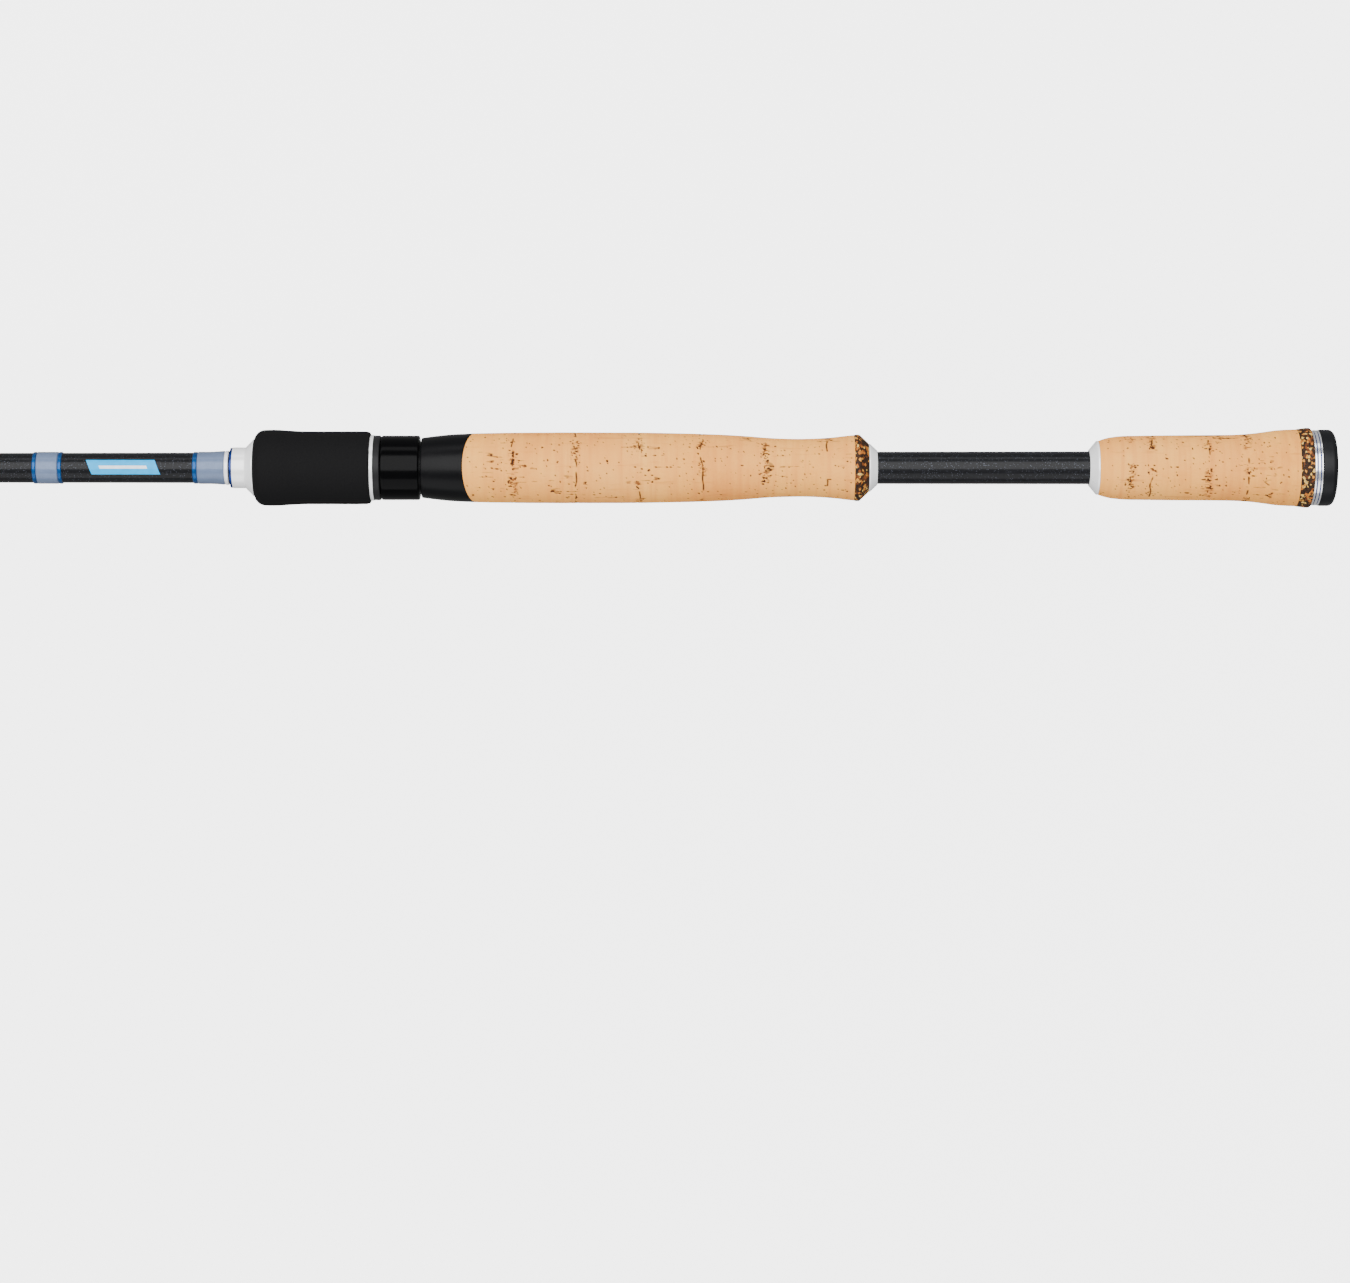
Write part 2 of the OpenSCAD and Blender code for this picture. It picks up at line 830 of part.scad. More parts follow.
module tip_top_ring() {
    color(ceramic_grey)
        at_ring(rod_length, -tip_ring_drop, tip_tilt)
            ring_insert(tip_ring_size);
}

module tip_top_wrap() {
    end = rod_length - tube_rear - 0.1;
    color(thread_grey)
        sleeve(
            tip_wrap_start, end, tube_r + 0.1, tube_r + 0.17,
            tip_r(tip_wrap_start) + glue, tip_r(end) + glue
        );
}

butt_cap();
butt_trim_ring();
butt_burl_ring();
rear_grip_cork();
rear_check();
butt_blank();
spigot();
mid_check();
main_burl_ring();
main_grip_cork();
reel_seat_body();
seat_arbors();
sliding_hood();
lock_nut();
nut_trim_ring();
foregrip_foam();
front_check();
accent_ring();
seat_wrap();
seat_wrap_trim();
blank_badge();
deco_wrap();
deco_trims();
butt_ferrule_wrap();
butt_ferrule_trims();
tip_blank();
tip_ferrule_wrap();
tip_ferrule_trims();
stripper_trims();
tip_top_frame();
tip_top_ring();
tip_top_wrap();
for (i = [1:GUIDES]) {
    guide_frame(i - 1);
    guide_ring(i - 1);
    guide_wrap(i - 1);
}
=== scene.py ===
import math

import bpy
from mathutils import Matrix, Vector, noise


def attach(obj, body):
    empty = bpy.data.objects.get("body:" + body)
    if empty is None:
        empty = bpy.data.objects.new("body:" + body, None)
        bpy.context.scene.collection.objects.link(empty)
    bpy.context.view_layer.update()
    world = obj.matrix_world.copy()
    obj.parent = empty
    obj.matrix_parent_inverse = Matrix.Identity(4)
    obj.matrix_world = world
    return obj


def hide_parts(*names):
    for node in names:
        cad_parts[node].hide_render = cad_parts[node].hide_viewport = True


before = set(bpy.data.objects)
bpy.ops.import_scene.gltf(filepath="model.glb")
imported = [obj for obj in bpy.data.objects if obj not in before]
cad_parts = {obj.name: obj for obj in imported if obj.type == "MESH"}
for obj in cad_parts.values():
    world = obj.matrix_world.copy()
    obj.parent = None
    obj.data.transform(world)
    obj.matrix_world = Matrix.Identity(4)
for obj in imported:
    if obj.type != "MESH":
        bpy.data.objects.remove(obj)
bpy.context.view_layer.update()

# The two halves of the rod, as bodies of the frame.
BUTT = "butt_section"
TIP = "tip_section"

MM = 0.001
TAU = 2 * math.pi

# Stations in millimetres forward of the butt's rear face, as in the CAD frame.
ROD_LENGTH = 2133.0
BUTT_END = 1066.0
TIP_START = 1073.5
BLANK_END = 2129.0
SEAT_START = 256.0
FIXED_MOUTH = 274.0
FLARE_END = 314.6
BARREL_END = 360.0
HOOD_START = 315.3
HOOD_END = 328.4
FLANGE_END = 331.0
FOAM_START = 332.2
FOAM_END = 372.3
CYLINDER_START = FOAM_END + 2.7
CYLINDER_END = CYLINDER_START + 4.8
SLEEVE_END = 352.0

# The slanted joint of cork and seat: its station on the axis and its slope.
SLANT_STATION = 296.0
SLANT = math.tan(math.radians(19.2))
# Depth of the flat reel bed below the axis, and bore of the pieces that pass over the seat wrap.
BED = 8.4
TRAVEL_BORE = 6.4
# Radii of the butt blank at its rear end and at the ferrule.
BUTT_R = 5.8
FERRULE_R = 4.33
# Edges steeper than this stay sharp.
SHARP_ANGLE = math.radians(38)
# Sign of Y and label of the two sides.
SIDES = ((-1, "left"), (1, "right"))


def lerp(a, b, t):
    return a + (b - a) * t


def smooth(a, b, x):
    """Smooth step from 0 at a to 1 at b."""
    t = min(max((x - a) / (b - a), 0.0), 1.0)
    return t * t * (3 - 2 * t)


def lookup(x, table):
    """Straight-line value at x of a table of [x, value] rows."""
    if x <= table[0][0]:
        return table[0][1]
    for (x0, y0), (x1, y1) in zip(table, table[1:]):
        if x <= x1:
            return lerp(y0, y1, (x - x0) / (x1 - x0))
    return table[-1][1]


def spline(x, table):
    """Smooth curve through a table of [x, value] rows, without overshoot at the ends."""
    if x <= table[0][0]:
        return table[0][1]
    if x >= table[-1][0]:
        return table[-1][1]
    k = next(i for i in range(len(table) - 1) if x <= table[i + 1][0])

    def slope(i):
        lo, hi = max(i - 1, 0), min(i + 1, len(table) - 1)
        return (table[hi][1] - table[lo][1]) / (table[hi][0] - table[lo][0])

    (x0, y0), (x1, y1) = table[k], table[k + 1]
    h = x1 - x0
    t = (x - x0) / h
    a, b = slope(k) * h, slope(k + 1) * h
    return (
        y0 * (2 * t**3 - 3 * t**2 + 1) + a * (t**3 - 2 * t**2 + t)
        + y1 * (3 * t**2 - 2 * t**3) + b * (t**3 - t**2)
    )


def butt_r(s):
    return lerp(BUTT_R, FERRULE_R, s / BUTT_END)


TIP_TAPER = [[TIP_START, 4.12], [1375, 3.68], [1500, 3.02], [1788, 1.32], [BLANK_END, 0.73]]


def tip_r(s):
    return lookup(s, TIP_TAPER)


# ---- meshes


def new_object(name, data):
    """A new object of the scene with this data."""
    obj = bpy.data.objects.new(name, data)
    bpy.context.collection.objects.link(obj)
    return obj


def mesh_object(name, verts, faces, material, body, replaced=(), attributes=None):
    """A named piece from millimetre points, riding on its body."""
    mesh = bpy.data.meshes.new(name)
    mesh.from_pydata([Vector(v) * MM for v in verts], [], faces)
    mesh.validate()
    mesh.shade_smooth()
    mesh.set_sharp_from_angle(angle=SHARP_ANGLE)
    for key, values in (attributes or {}).items():
        layer = mesh.attributes.new(key, "FLOAT", "POINT")
        layer.data.foreach_set("value", values)
    mesh.materials.append(material)
    obj = new_object(name, mesh)
    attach(obj, body)
    if replaced:
        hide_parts(*replaced)
    return obj


def on_rod(s, r, a):
    """Point at station s, radius r and angle a, where angle 0 is up and 90 degrees is +Y."""
    return (-s, r * math.sin(a), r * math.cos(a))


def even_angles(columns):
    return [TAU * i / columns for i in range(columns)]


def skin(name, rings, angles, material, body, replaced=(), place=on_rod):
    """Lofts rings about the rod's axis and joins the last to the first.

    Each ring is a function of the angle that gives (station, radius).
    """
    n = len(angles)
    verts = []
    for ring in rings:
        verts += [place(*ring(a), a) for a in angles]
    faces = []
    for lo in range(len(rings)):
        hi = (lo + 1) % len(rings)
        for i in range(n):
            j = (i + 1) % n
            faces.append((lo * n + i, hi * n + i, hi * n + j, lo * n + j))
    return mesh_object(name, verts, faces, material, body, replaced)


def turned(name, outline, slot, body, replaced=(), columns=128, place=on_rod):
    """A closed solid of revolution from [radius, station] points."""
    rings = [lambda a, r=r, s=s: (s, r) for r, s in outline]
    return skin(name, rings, even_angles(columns), MATERIALS[slot], body, replaced, place)


def tube(bore, radius, from_s, to_s):
    """Outline of a plain tube."""
    return [(bore, from_s), (radius, from_s), (radius, to_s), (bore, to_s)]


def rounded(outline, radius, steps=4):
    """The closed outline with each corner rounded by up to radius."""
    most_of_side = 0.45
    smallest_cut = 1e-4
    out = []
    n = len(outline)
    for i in range(n):
        a, b, c = (Vector(outline[k % n]) for k in (i - 1, i, i + 1))
        u, v = a - b, c - b
        cut = min(radius, u.length * most_of_side, v.length * most_of_side)
        if cut < smallest_cut:
            out.append(tuple(b))
            continue
        p, q = b + u.normalized() * cut, b + v.normalized() * cut
        for k in range(steps + 1):
            t = k / steps
            out.append(tuple(p * (1 - t) ** 2 + b * 2 * t * (1 - t) + q * t * t))
    return out


def sweep(name, sections, material, body, replaced=()):
    """Lofts closed sections of equal length and caps both ends."""
    n = len(sections[0])
    verts = [p for section in sections for p in section]
    faces = [tuple(reversed(range(n)))]
    for k in range(len(sections) - 1):
        for i in range(n):
            j = (i + 1) % n
            faces.append((k * n + i, k * n + j, (k + 1) * n + j, (k + 1) * n + i))
    last = (len(sections) - 1) * n
    faces.append(tuple(range(last, last + n)))
    return mesh_object(name, verts, faces, material, body, replaced)


def curve_points(points, steps):
    """Smooth curve through 3-D points, each span cut into steps."""
    pts = [Vector(p) for p in points]
    ends = [2 * pts[0] - pts[1], *pts, 2 * pts[-1] - pts[-2]]
    out = []
    for k in range(len(pts) - 1):
        p0, p1, p2, p3 = ends[k:k + 4]
        for i in range(steps):
            t = i / steps
            out.append(
                0.5 * (2 * p1 + (p2 - p0) * t + (2 * p0 - 5 * p1 + 4 * p2 - p3) * t * t
                       + (3 * p1 - p0 - 3 * p2 + p3) * t**3)
            )
    return [*out, pts[-1]]


def strip_sections(path, width, thick, side, corners=12):
    """Rounded strip sections along a path: side is the direction of the strip's width."""
    power = 4.0
    out = []
    n = len(path)
    for i, p in enumerate(path):
        along = (path[min(i + 1, n - 1)] - path[max(i - 1, 0)]).normalized()
        across = (side - along * side.dot(along)).normalized()
        normal = along.cross(across)
        t = i / (n - 1)
        w, h = width(t) / 2, thick(t) / 2
        ring = []
        for k in range(corners):
            a = TAU * (k + 0.5) / corners
            c, s = math.cos(a), math.sin(a)
            scale = (abs(c) ** power + abs(s) ** power) ** (-1 / power)
            ring.append(p + across * (w * c * scale) + normal * (h * s * scale))
        out.append(ring)
    return out


# ---- materials

# Pitch of the wound thread in millimetres, and the height of its ridges.
WIND = 0.21
RIDGE = 0.012

MATERIALS = {}


class Nodes:
    """Small helper that builds one procedural material and keeps it in MATERIALS by its name."""

    def __init__(self, name):
        self.material = MATERIALS[name] = bpy.data.materials.new(name)
        self.material.use_nodes = True
        self.tree = self.material.node_tree
        self.shader = self.tree.nodes["Principled BSDF"]
        self.where = self.tree.nodes.new("ShaderNodeTexCoord").outputs["Object"]

    def add(self, kind, inputs=None, **settings):
        node = self.tree.nodes.new(kind)
        for key, value in settings.items():
            setattr(node, key, value)
        for key, value in (inputs or {}).items():
            self.put(node.inputs[key], value)
        return node

    def put(self, socket, value):
        if isinstance(value, bpy.types.NodeSocket):
            self.tree.links.new(value, socket)
        else:
            socket.default_value = value

    def set(self, **values):
        for key, value in values.items():
            self.put(self.shader.inputs[key.replace("_", " ")], value)

    def attribute(self, name):
        return self.add("ShaderNodeAttribute", attribute_name=name).outputs["Fac"]

    def stretch(self, x, y, z):
        return self.add("ShaderNodeMapping", {"Vector": self.where, "Scale": (x, y, z)}).outputs[0]

    def noise(self, scale, detail=3.0, rough=0.55, at=None):
        node = self.add("ShaderNodeTexNoise", {"Scale": scale, "Detail": detail, "Roughness": rough})
        self.put(node.inputs["Vector"], at or self.where)
        return node.outputs["Fac"]

    def cells(self, scale, at=None, feature="F1"):
        node = self.add("ShaderNodeTexVoronoi", {"Scale": scale}, feature=feature)
        self.put(node.inputs["Vector"], at or self.where)
        return node

    def ramp(self, factor, *stops, easing="LINEAR"):
        node = self.add("ShaderNodeValToRGB", {"Fac": factor})
        band = node.color_ramp
        band.interpolation = easing
        while len(band.elements) < len(stops):
            band.elements.new(0.5)
        for element, (position, colour) in zip(band.elements, stops):
            element.position = position
            element.color = (*colour, 1)
        return node.outputs["Color"]

    def fade(self, factor, low, high, out_low=0.0, out_high=1.0):
        node = self.add("ShaderNodeMapRange", {
            "Value": factor, "From Min": low, "From Max": high, "To Min": out_low, "To Max": out_high
        })
        return node.outputs["Result"]

    def mix(self, factor, a, b):
        node = self.add("ShaderNodeMix", data_type="RGBA")
        self.put(node.inputs[0], factor)
        for socket, value in ((node.inputs[6], a), (node.inputs[7], b)):
            self.put(socket, value if isinstance(value, bpy.types.NodeSocket) else (*value, 1))
        return node.outputs[2]

    def math(self, operation, a, b=0.0):
        node = self.add("ShaderNodeMath", operation=operation)
        self.put(node.inputs[0], a)
        self.put(node.inputs[1], b)
        return node.outputs[0]

    def along(self):
        """Distance along the rod, in metres."""
        return self.add("ShaderNodeSeparateXYZ", {"Vector": self.where}).outputs["X"]

    def bump(self, height, distance, strength):
        node = self.add("ShaderNodeBump", {"Height": height, "Distance": distance, "Strength": strength})
        self.put(self.shader.inputs["Normal"], node.outputs["Normal"])

    def lines(self, pitch):
        """A soft 0 to 1 wave along the rod with this pitch in metres."""
        wave = self.math("SINE", self.math("MULTIPLY", self.along(), TAU / pitch))
        return self.fade(wave, -1.0, 1.0)


def cork_material():
    """Cork in rings: clean pale cork, growth bands across it, and dark pores where the mesh has them."""
    m = Nodes("cork")
    tone = m.noise(38.0, 4.0, 0.6)
    base = m.ramp(
        tone, (0.25, (0.74, 0.275, 0.042)), (0.45, (0.86, 0.355, 0.060)),
        (0.6, (0.91, 0.405, 0.076)), (0.8, (0.95, 0.49, 0.110))
    )
    fine = m.noise(900.0, 3.0, 0.7)
    base = m.mix(m.fade(fine, 0.3, 0.75, 0.0, 0.3), base, (0.95, 0.50, 0.13))
    disc = m.attribute("disc")
    base = m.mix(m.fade(disc, 0.0, 1.0, 0.0, 0.3), base, (0.74, 0.25, 0.060))
    growth = m.noise(1.0, 3.0, 0.6, m.stretch(520.0, 26.0, 26.0))
    base = m.mix(m.fade(growth, 0.45, 0.7, 0.0, 0.42), base, (0.66, 0.21, 0.045))
    vein = m.noise(1.0, 3.0, 0.6, m.stretch(55.0, 520.0, 520.0))
    base = m.mix(m.fade(vein, 0.60, 0.70, 0.0, 0.34), base, (0.46, 0.13, 0.025))
    worn = m.attribute("worn")
    fleck = m.noise(900.0, 2.0, 0.6, m.stretch(0.7, 1.3, 1.3))
    speck = m.math("MULTIPLY", m.fade(fleck, 0.50, 0.60), m.fade(worn, 0.2, 0.8))
    base = m.mix(m.math("MULTIPLY", speck, 0.85), base, (0.17, 0.048, 0.012))
    pit = m.attribute("pit")
    base = m.mix(m.fade(pit, 0.08, 0.42, 0.0, 0.96), base, (0.040, 0.012, 0.005))
    m.set(Base_Color=base, Roughness=m.fade(fine, 0.3, 0.7, 0.7, 0.9), Specular_IOR_Level=0.12)
    relief = m.math("ADD", m.noise(1500.0, 3.0, 0.7), m.math("MULTIPLY", speck, -0.8))
    m.bump(relief, 0.00012, 0.5)


def burl_material():
    """Chips of light and dark cork pressed together, with warped edges."""
    m = Nodes("burl_cork")
    chip_scale = 1050.0
    swirl = m.add("ShaderNodeTexNoise", {"Scale": 900.0, "Detail": 2.0, "Vector": m.where})
    warp = m.add(
        "ShaderNodeVectorMath", {0: swirl.outputs["Color"], 1: (0.0008, 0.0008, 0.0008)},
        operation="MULTIPLY"
    ).outputs[0]
    bent = m.add(
        "ShaderNodeVectorMath", {0: m.stretch(1.15, 1.0, 1.0), 1: warp}, operation="ADD"
    ).outputs[0]
    chips = m.cells(chip_scale, bent)
    pick = m.add("ShaderNodeSeparateColor", {"Color": chips.outputs["Color"]}).outputs["Red"]
    base = m.ramp(
        pick, (0.0, (0.005, 0.0035, 0.003)), (0.40, (0.11, 0.030, 0.009)), (0.46, (0.52, 0.16, 0.022)),
        (0.55, (0.008, 0.005, 0.004)), (0.72, (0.66, 0.27, 0.040)), (0.84, (0.20, 0.055, 0.012)),
        (0.90, (0.80, 0.50, 0.13)), easing="CONSTANT"
    )
    base = m.mix(m.fade(m.noise(2600.0, 2.0), 0.35, 0.7, 0.0, 0.5), base, (0.12, 0.05, 0.02))
    edge = m.cells(chip_scale, bent, "DISTANCE_TO_EDGE").outputs["Distance"]
    base = m.mix(m.fade(edge, 0.0, 0.09, 0.8, 0.0), base, (0.012, 0.007, 0.004))
    m.set(Base_Color=base, Roughness=0.66, Specular_IOR_Level=0.15)
    m.bump(m.math("ADD", m.fade(edge, 0.0, 0.12), m.noise(1800.0, 3.0, 0.7)), 0.00006, 0.5)


def foam_material():
    """Matt black closed-cell foam with a fine open grain."""
    m = Nodes("eva_foam")
    grain = m.noise(1700.0, 3.0, 0.75)
    base = m.mix(grain, (0.0021, 0.0021, 0.0023), (0.0070, 0.0069, 0.0074))
    m.set(Base_Color=base, Roughness=m.fade(grain, 0.3, 0.7, 0.72, 0.92), Specular_IOR_Level=0.10)
    m.bump(m.math("ADD", grain, m.cells(1300.0).outputs["Distance"]), 0.00009, 0.55)


def carbon_material(name, dark, light, glint, gloss):
    """Carbon blank under a clear coat, with fine metallic flakes."""
    m = Nodes(name)
    weave = m.noise(700.0, 2.0, 0.5, m.stretch(0.35, 1.0, 1.0))
    base = m.mix(weave, dark, light)
    flakes = m.cells(3600.0, m.stretch(0.8, 1.0, 1.0))
    pick = m.add("ShaderNodeSeparateColor", {"Color": flakes.outputs["Color"]}).outputs["Green"]
    spark = m.math("MULTIPLY", m.fade(pick, 0.78, 0.96), m.fade(flakes.outputs["Distance"], 0.45, 0.1))
    base = m.mix(m.math("MULTIPLY", spark, 0.6), base, glint)
    m.set(
        Base_Color=base, Metallic=m.fade(spark, 0.0, 1.0, 0.1, 0.9), Roughness=0.38,
        Specular_IOR_Level=0.08, Coat_Weight=0.8, Coat_Roughness=gloss, Coat_IOR=1.2
    )
    m.bump(m.math("ADD", weave, spark), 0.00002, 0.25)


def thread_material(name, deep, bright, metallic):
    """Wound thread seen through a glossy clear epoxy."""
    m = Nodes(name)
    wound = m.lines(WIND * MM)
    tone = m.noise(420.0, 3.0, 0.6)
    base = m.mix(wound, deep, bright)
    base = m.mix(m.fade(tone, 0.3, 0.7, 0.0, 0.3), base, deep)
    m.set(
        Base_Color=base, Metallic=metallic, Roughness=0.34, Specular_IOR_Level=0.1,
        Coat_Weight=0.8, Coat_Roughness=0.035, Coat_IOR=1.3
    )
    m.bump(m.math("ADD", wound, m.noise(5000.0, 1.0)), 0.00003, 0.5)


def turned_metal(name, colour, rough, metallic):
    """Lathe-turned metal with fine rings and light handling marks."""
    m = Nodes(name)
    pitch = 0.00016
    lathe = m.noise(1.0, 3.0, 0.7, m.stretch(1.0 / pitch, 30.0, 30.0))
    marks = m.noise(120.0, 4.0, 0.7)
    base = m.mix(m.fade(lathe, 0.3, 0.7, 0.0, 0.25), colour, [c * 0.8 for c in colour])
    rough = m.fade(marks, 0.35, 0.7, rough * 0.85, rough * 1.3)
    m.set(Base_Color=base, Metallic=metallic, Roughness=rough)
    m.bump(lathe, 0.00002, 0.35)


def polished_steel():
    """Polished steel wire with light handling marks."""
    m = Nodes("guide_steel")
    marks = m.noise(600.0, 4.0, 0.7)
    base = m.mix(marks, (0.60, 0.585, 0.55), (0.78, 0.765, 0.73))
    m.set(Base_Color=base, Metallic=1.0, Roughness=m.fade(marks, 0.3, 0.75, 0.12, 0.26))
    m.bump(m.noise(900.0, 3.0, 0.6), 0.00002, 0.25)


def moulded(name, colour, rough, coat, scale, shine):
    """Moulded plastic, rubber or ceramic with a fine surface grain."""
    m = Nodes(name)
    grain = m.noise(scale, 3.0, 0.6)
    smear = m.noise(70.0, 4.0, 0.6)
    base = m.mix(grain, [c * 0.8 for c in colour], [c * 1.25 for c in colour])
    m.set(
        Base_Color=base, Roughness=m.fade(smear, 0.3, 0.7, rough * 0.85, rough * 1.2),
        Specular_IOR_Level=shine, Coat_Weight=coat, Coat_Roughness=0.05, Coat_IOR=1.3
    )
    m.bump(grain, 0.00003, 0.3)


cork_material()
burl_material()
foam_material()
polished_steel()
carbon_material(
    "carbon_butt", (0.0028, 0.0029, 0.0034), (0.0095, 0.0099, 0.012), (0.20, 0.22, 0.28), 0.10
)
carbon_material(
    "carbon_tip", (0.012, 0.0090, 0.0068), (0.030, 0.0235, 0.0180), (0.30, 0.26, 0.21), 0.12
)
thread_material("thread_grey", (0.085, 0.115, 0.175), (0.175, 0.232, 0.37), 0.1)
thread_material("thread_blue", (0.0005, 0.013, 0.070), (0.004, 0.13, 0.42), 0.6)
turned_metal("aluminium_bright", (0.96, 0.96, 0.965), 0.22, 0.18)
turned_metal("aluminium_polished", (0.94, 0.94, 0.95), 0.15, 0.85)
turned_metal("blue_anodised", (0.002, 0.022, 0.16), 0.22, 0.6)
# Name, colour, roughness, clear coat, scale of the grain, and specular level.
moulded("ceramic_dark", (0.014, 0.015, 0.018), 0.12, 0.3, 400.0, 0.3)
moulded("rubber_black", (0.0045, 0.0048, 0.0060), 0.40, 0.0, 1500.0, 0.16)
moulded("seat_plastic", (0.0025, 0.0025, 0.0030), 0.32, 0.0, 1800.0, 0.10)
moulded("hood_plastic", (0.0012, 0.0012, 0.0014), 0.14, 0.0, 500.0, 0.06)
moulded("nut_plastic", (0.0110, 0.0110, 0.0115), 0.38, 0.0, 1500.0, 0.14)
moulded("arbor_foam", (0.55, 0.50, 0.38), 0.8, 0.0, 900.0, 0.5)
moulded("badge_film", (0.0, 0.36, 0.74), 0.30, 0.4, 300.0, 0.03)
moulded("pale_film", (0.72, 0.76, 0.80), 0.30, 0.8, 300.0, 0.1)


# ---- butt end and checks


def butt_cap():
    rim_r, corner_r = 13.2, 2
    outline = [(0.0, 0.0), (3.0, 0.0)]
    for groove in (5.0, 7.4, 9.8):
        outline += [
            (groove - 0.35, 0.0), (groove - 0.15, 0.3), (groove + 0.15, 0.3), (groove + 0.35, 0.0)
        ]
    for degrees in range(0, 91, 10):
        a = math.radians(degrees)
        outline.append((rim_r - corner_r + corner_r * math.sin(a), corner_r - corner_r * math.cos(a)))
    outline += [(rim_r, 4.6), (13.05, 5.15), (12.8, 5.3), (0.0, 5.3)]
    turned("butt_cap_skin", outline, "rubber_black", BUTT, ["butt_cap"])


def butt_rings():
    bore, ring_r, groove_r = 5.9, 13.0, 12.6
    rear, front = 5.33, 8.07
    grooves = (6.0, 7.2)
    ring = [(bore, rear), (ring_r, rear)]
    for groove in grooves:
        ring += [
            (ring_r, groove - 0.22), (groove_r, groove - 0.12),
            (groove_r, groove + 0.12), (ring_r, groove + 0.22)
        ]
    ring += [(ring_r, front), (bore, front)]
    # Painted reflection: blue bands set in the ring's two grooves stand for blue reflections on the polished
    # silver ring, not for a blue part of it.
    for k, groove in enumerate(grooves):
        line = tube(12.2, 12.68, groove - 0.1, groove + 0.1)
        turned(f"butt_trim_painted_reflection_{k + 1}", line, "blue_anodised", BUTT, ["butt_trim_ring"])
    turned("butt_trim_ring_skin", rounded(ring, 0.12), "aluminium_polished", BUTT, ["butt_trim_ring"])
    burl = [(bore, 8.1), (13.45, 8.1), (13.78, 8.45), (13.78, 9.6), (13.35, 12.78), (bore, 12.78)]
    turned("butt_burl_ring_skin", rounded(burl, 0.35), "burl_cork", BUTT, ["butt_burl_ring"])
    rear, front, bore = 160.42, 165.38, 6.0
    burl = [(bore, rear), (8.5, rear), (11.45, 163.55), (11.5, 164.6), (11.33, front), (bore, front)]
    turned("main_burl_ring_skin", rounded(burl, 0.3), "burl_cork", BUTT, ["main_burl_ring"])


def checks():
    rear, front = 81.15, 84.3
    cone = [
        (5.9, rear), (9.28, rear), (9.28, rear + 0.6), (6.5, front - 0.25), (6.3, front), (5.7, front)
    ]
    turned("rear_check_skin", rounded(cone, 0.15), "aluminium_bright", BUTT, ["rear_check"])
    bore, rear, front = 5.62, 157.4, 160.35
    cone = [(bore, rear), (6.0, rear), (6.15, rear + 0.2), (8.28, 159.9), (8.28, front), (bore, front)]
    turned("mid_check_skin", rounded(cone, 0.15), "aluminium_bright", BUTT, ["mid_check"])


# ---- cork grips

REAR_GRIP = [
    [12.8, 13.3], [16, 13.2], [20, 12.9], [24, 12.35], [28.6, 11.8], [34, 11.45], [40, 11.35],
    [55, 11.25], [68, 11.1], [73, 10.95], [77, 10.5], [79.6, 9.85], [81.1, 9.3]
]
MAIN_GRIP = [
    [165.4, 11.3], [168, 11.05], [172, 10.6], [176, 10.25], [181, 10.05], [185, 10.0], [190, 10.1],
    [196, 10.4], [202, 10.9], [210, 11.4], [218, 11.72], [227, 11.95], [238, 12.15], [252, 12.2],
    [270, 12.22], [287, 12.08], [302, 11.8]
]
# Glue lines between the cork rings, where the pores and cracks of the photograph gather.
SEAMS = [30.4, 44.2, 63.6, 71.0, 174.8, 196.4, 218.0, 239.6, 261.2, 282.8]
# Spacing of the mesh's rows along the cork, its columns, and the depth of a full pore.
CORK_ROW = 0.32
CORK_COLUMNS = 240
PORE_DEPTH = 0.24


def speckle(x, y, z, offset=0.0):
    """Smooth noise from about -1 to 1. Each offset gives a pattern of its own."""
    return noise.noise(Vector((x + offset, y - offset, z + offset)))


def cork_marks(s, r, a):
    """Pore depth, worn patch and ring tone at a point of the cork, each from 0 to 1."""
    x, y, z = on_rod(s, r, a)
    k = min(range(len(SEAMS)), key=lambda i: abs(s - SEAMS[i]))
    gap = s - SEAMS[k] - 1.1 * speckle(7.3 * k, y * 0.22, z * 0.22)
    column = math.exp(-((gap / 1.5) ** 2))
    column *= smooth(-0.15, 0.2, speckle(3.1 * k, y * 0.17, z * 0.17, 5.0))
    crack = 1 - smooth(0.08, 0.42, abs(gap))
    crack *= smooth(-0.05, 0.2, speckle(5.9 * k, y * 0.3, z * 0.3, 9.0))
    field = smooth(0.12, 0.34, speckle(x * 0.055, y * 0.13, z * 0.13, 21.0))
    line = 1 - smooth(0.02, 0.11, abs(speckle(x * 0.05, y * 0.5, z * 0.5, 33.0)))
    vein = line * field * smooth(-0.15, 0.15, speckle(x * 0.45, y * 0.4, z * 0.4, 40.0))
    near = max(column, 0.75 * vein)
    pore = smooth(0.36, 0.48, speckle(x * 1.3, y * 1.7, z * 1.7, 50.0) + 0.35 * near - 0.20)
    ring = sum(seam < s for seam in SEAMS)
    return max(pore, 0.5 * crack, 0.28 * vein), near, ring * 0.618 % 1


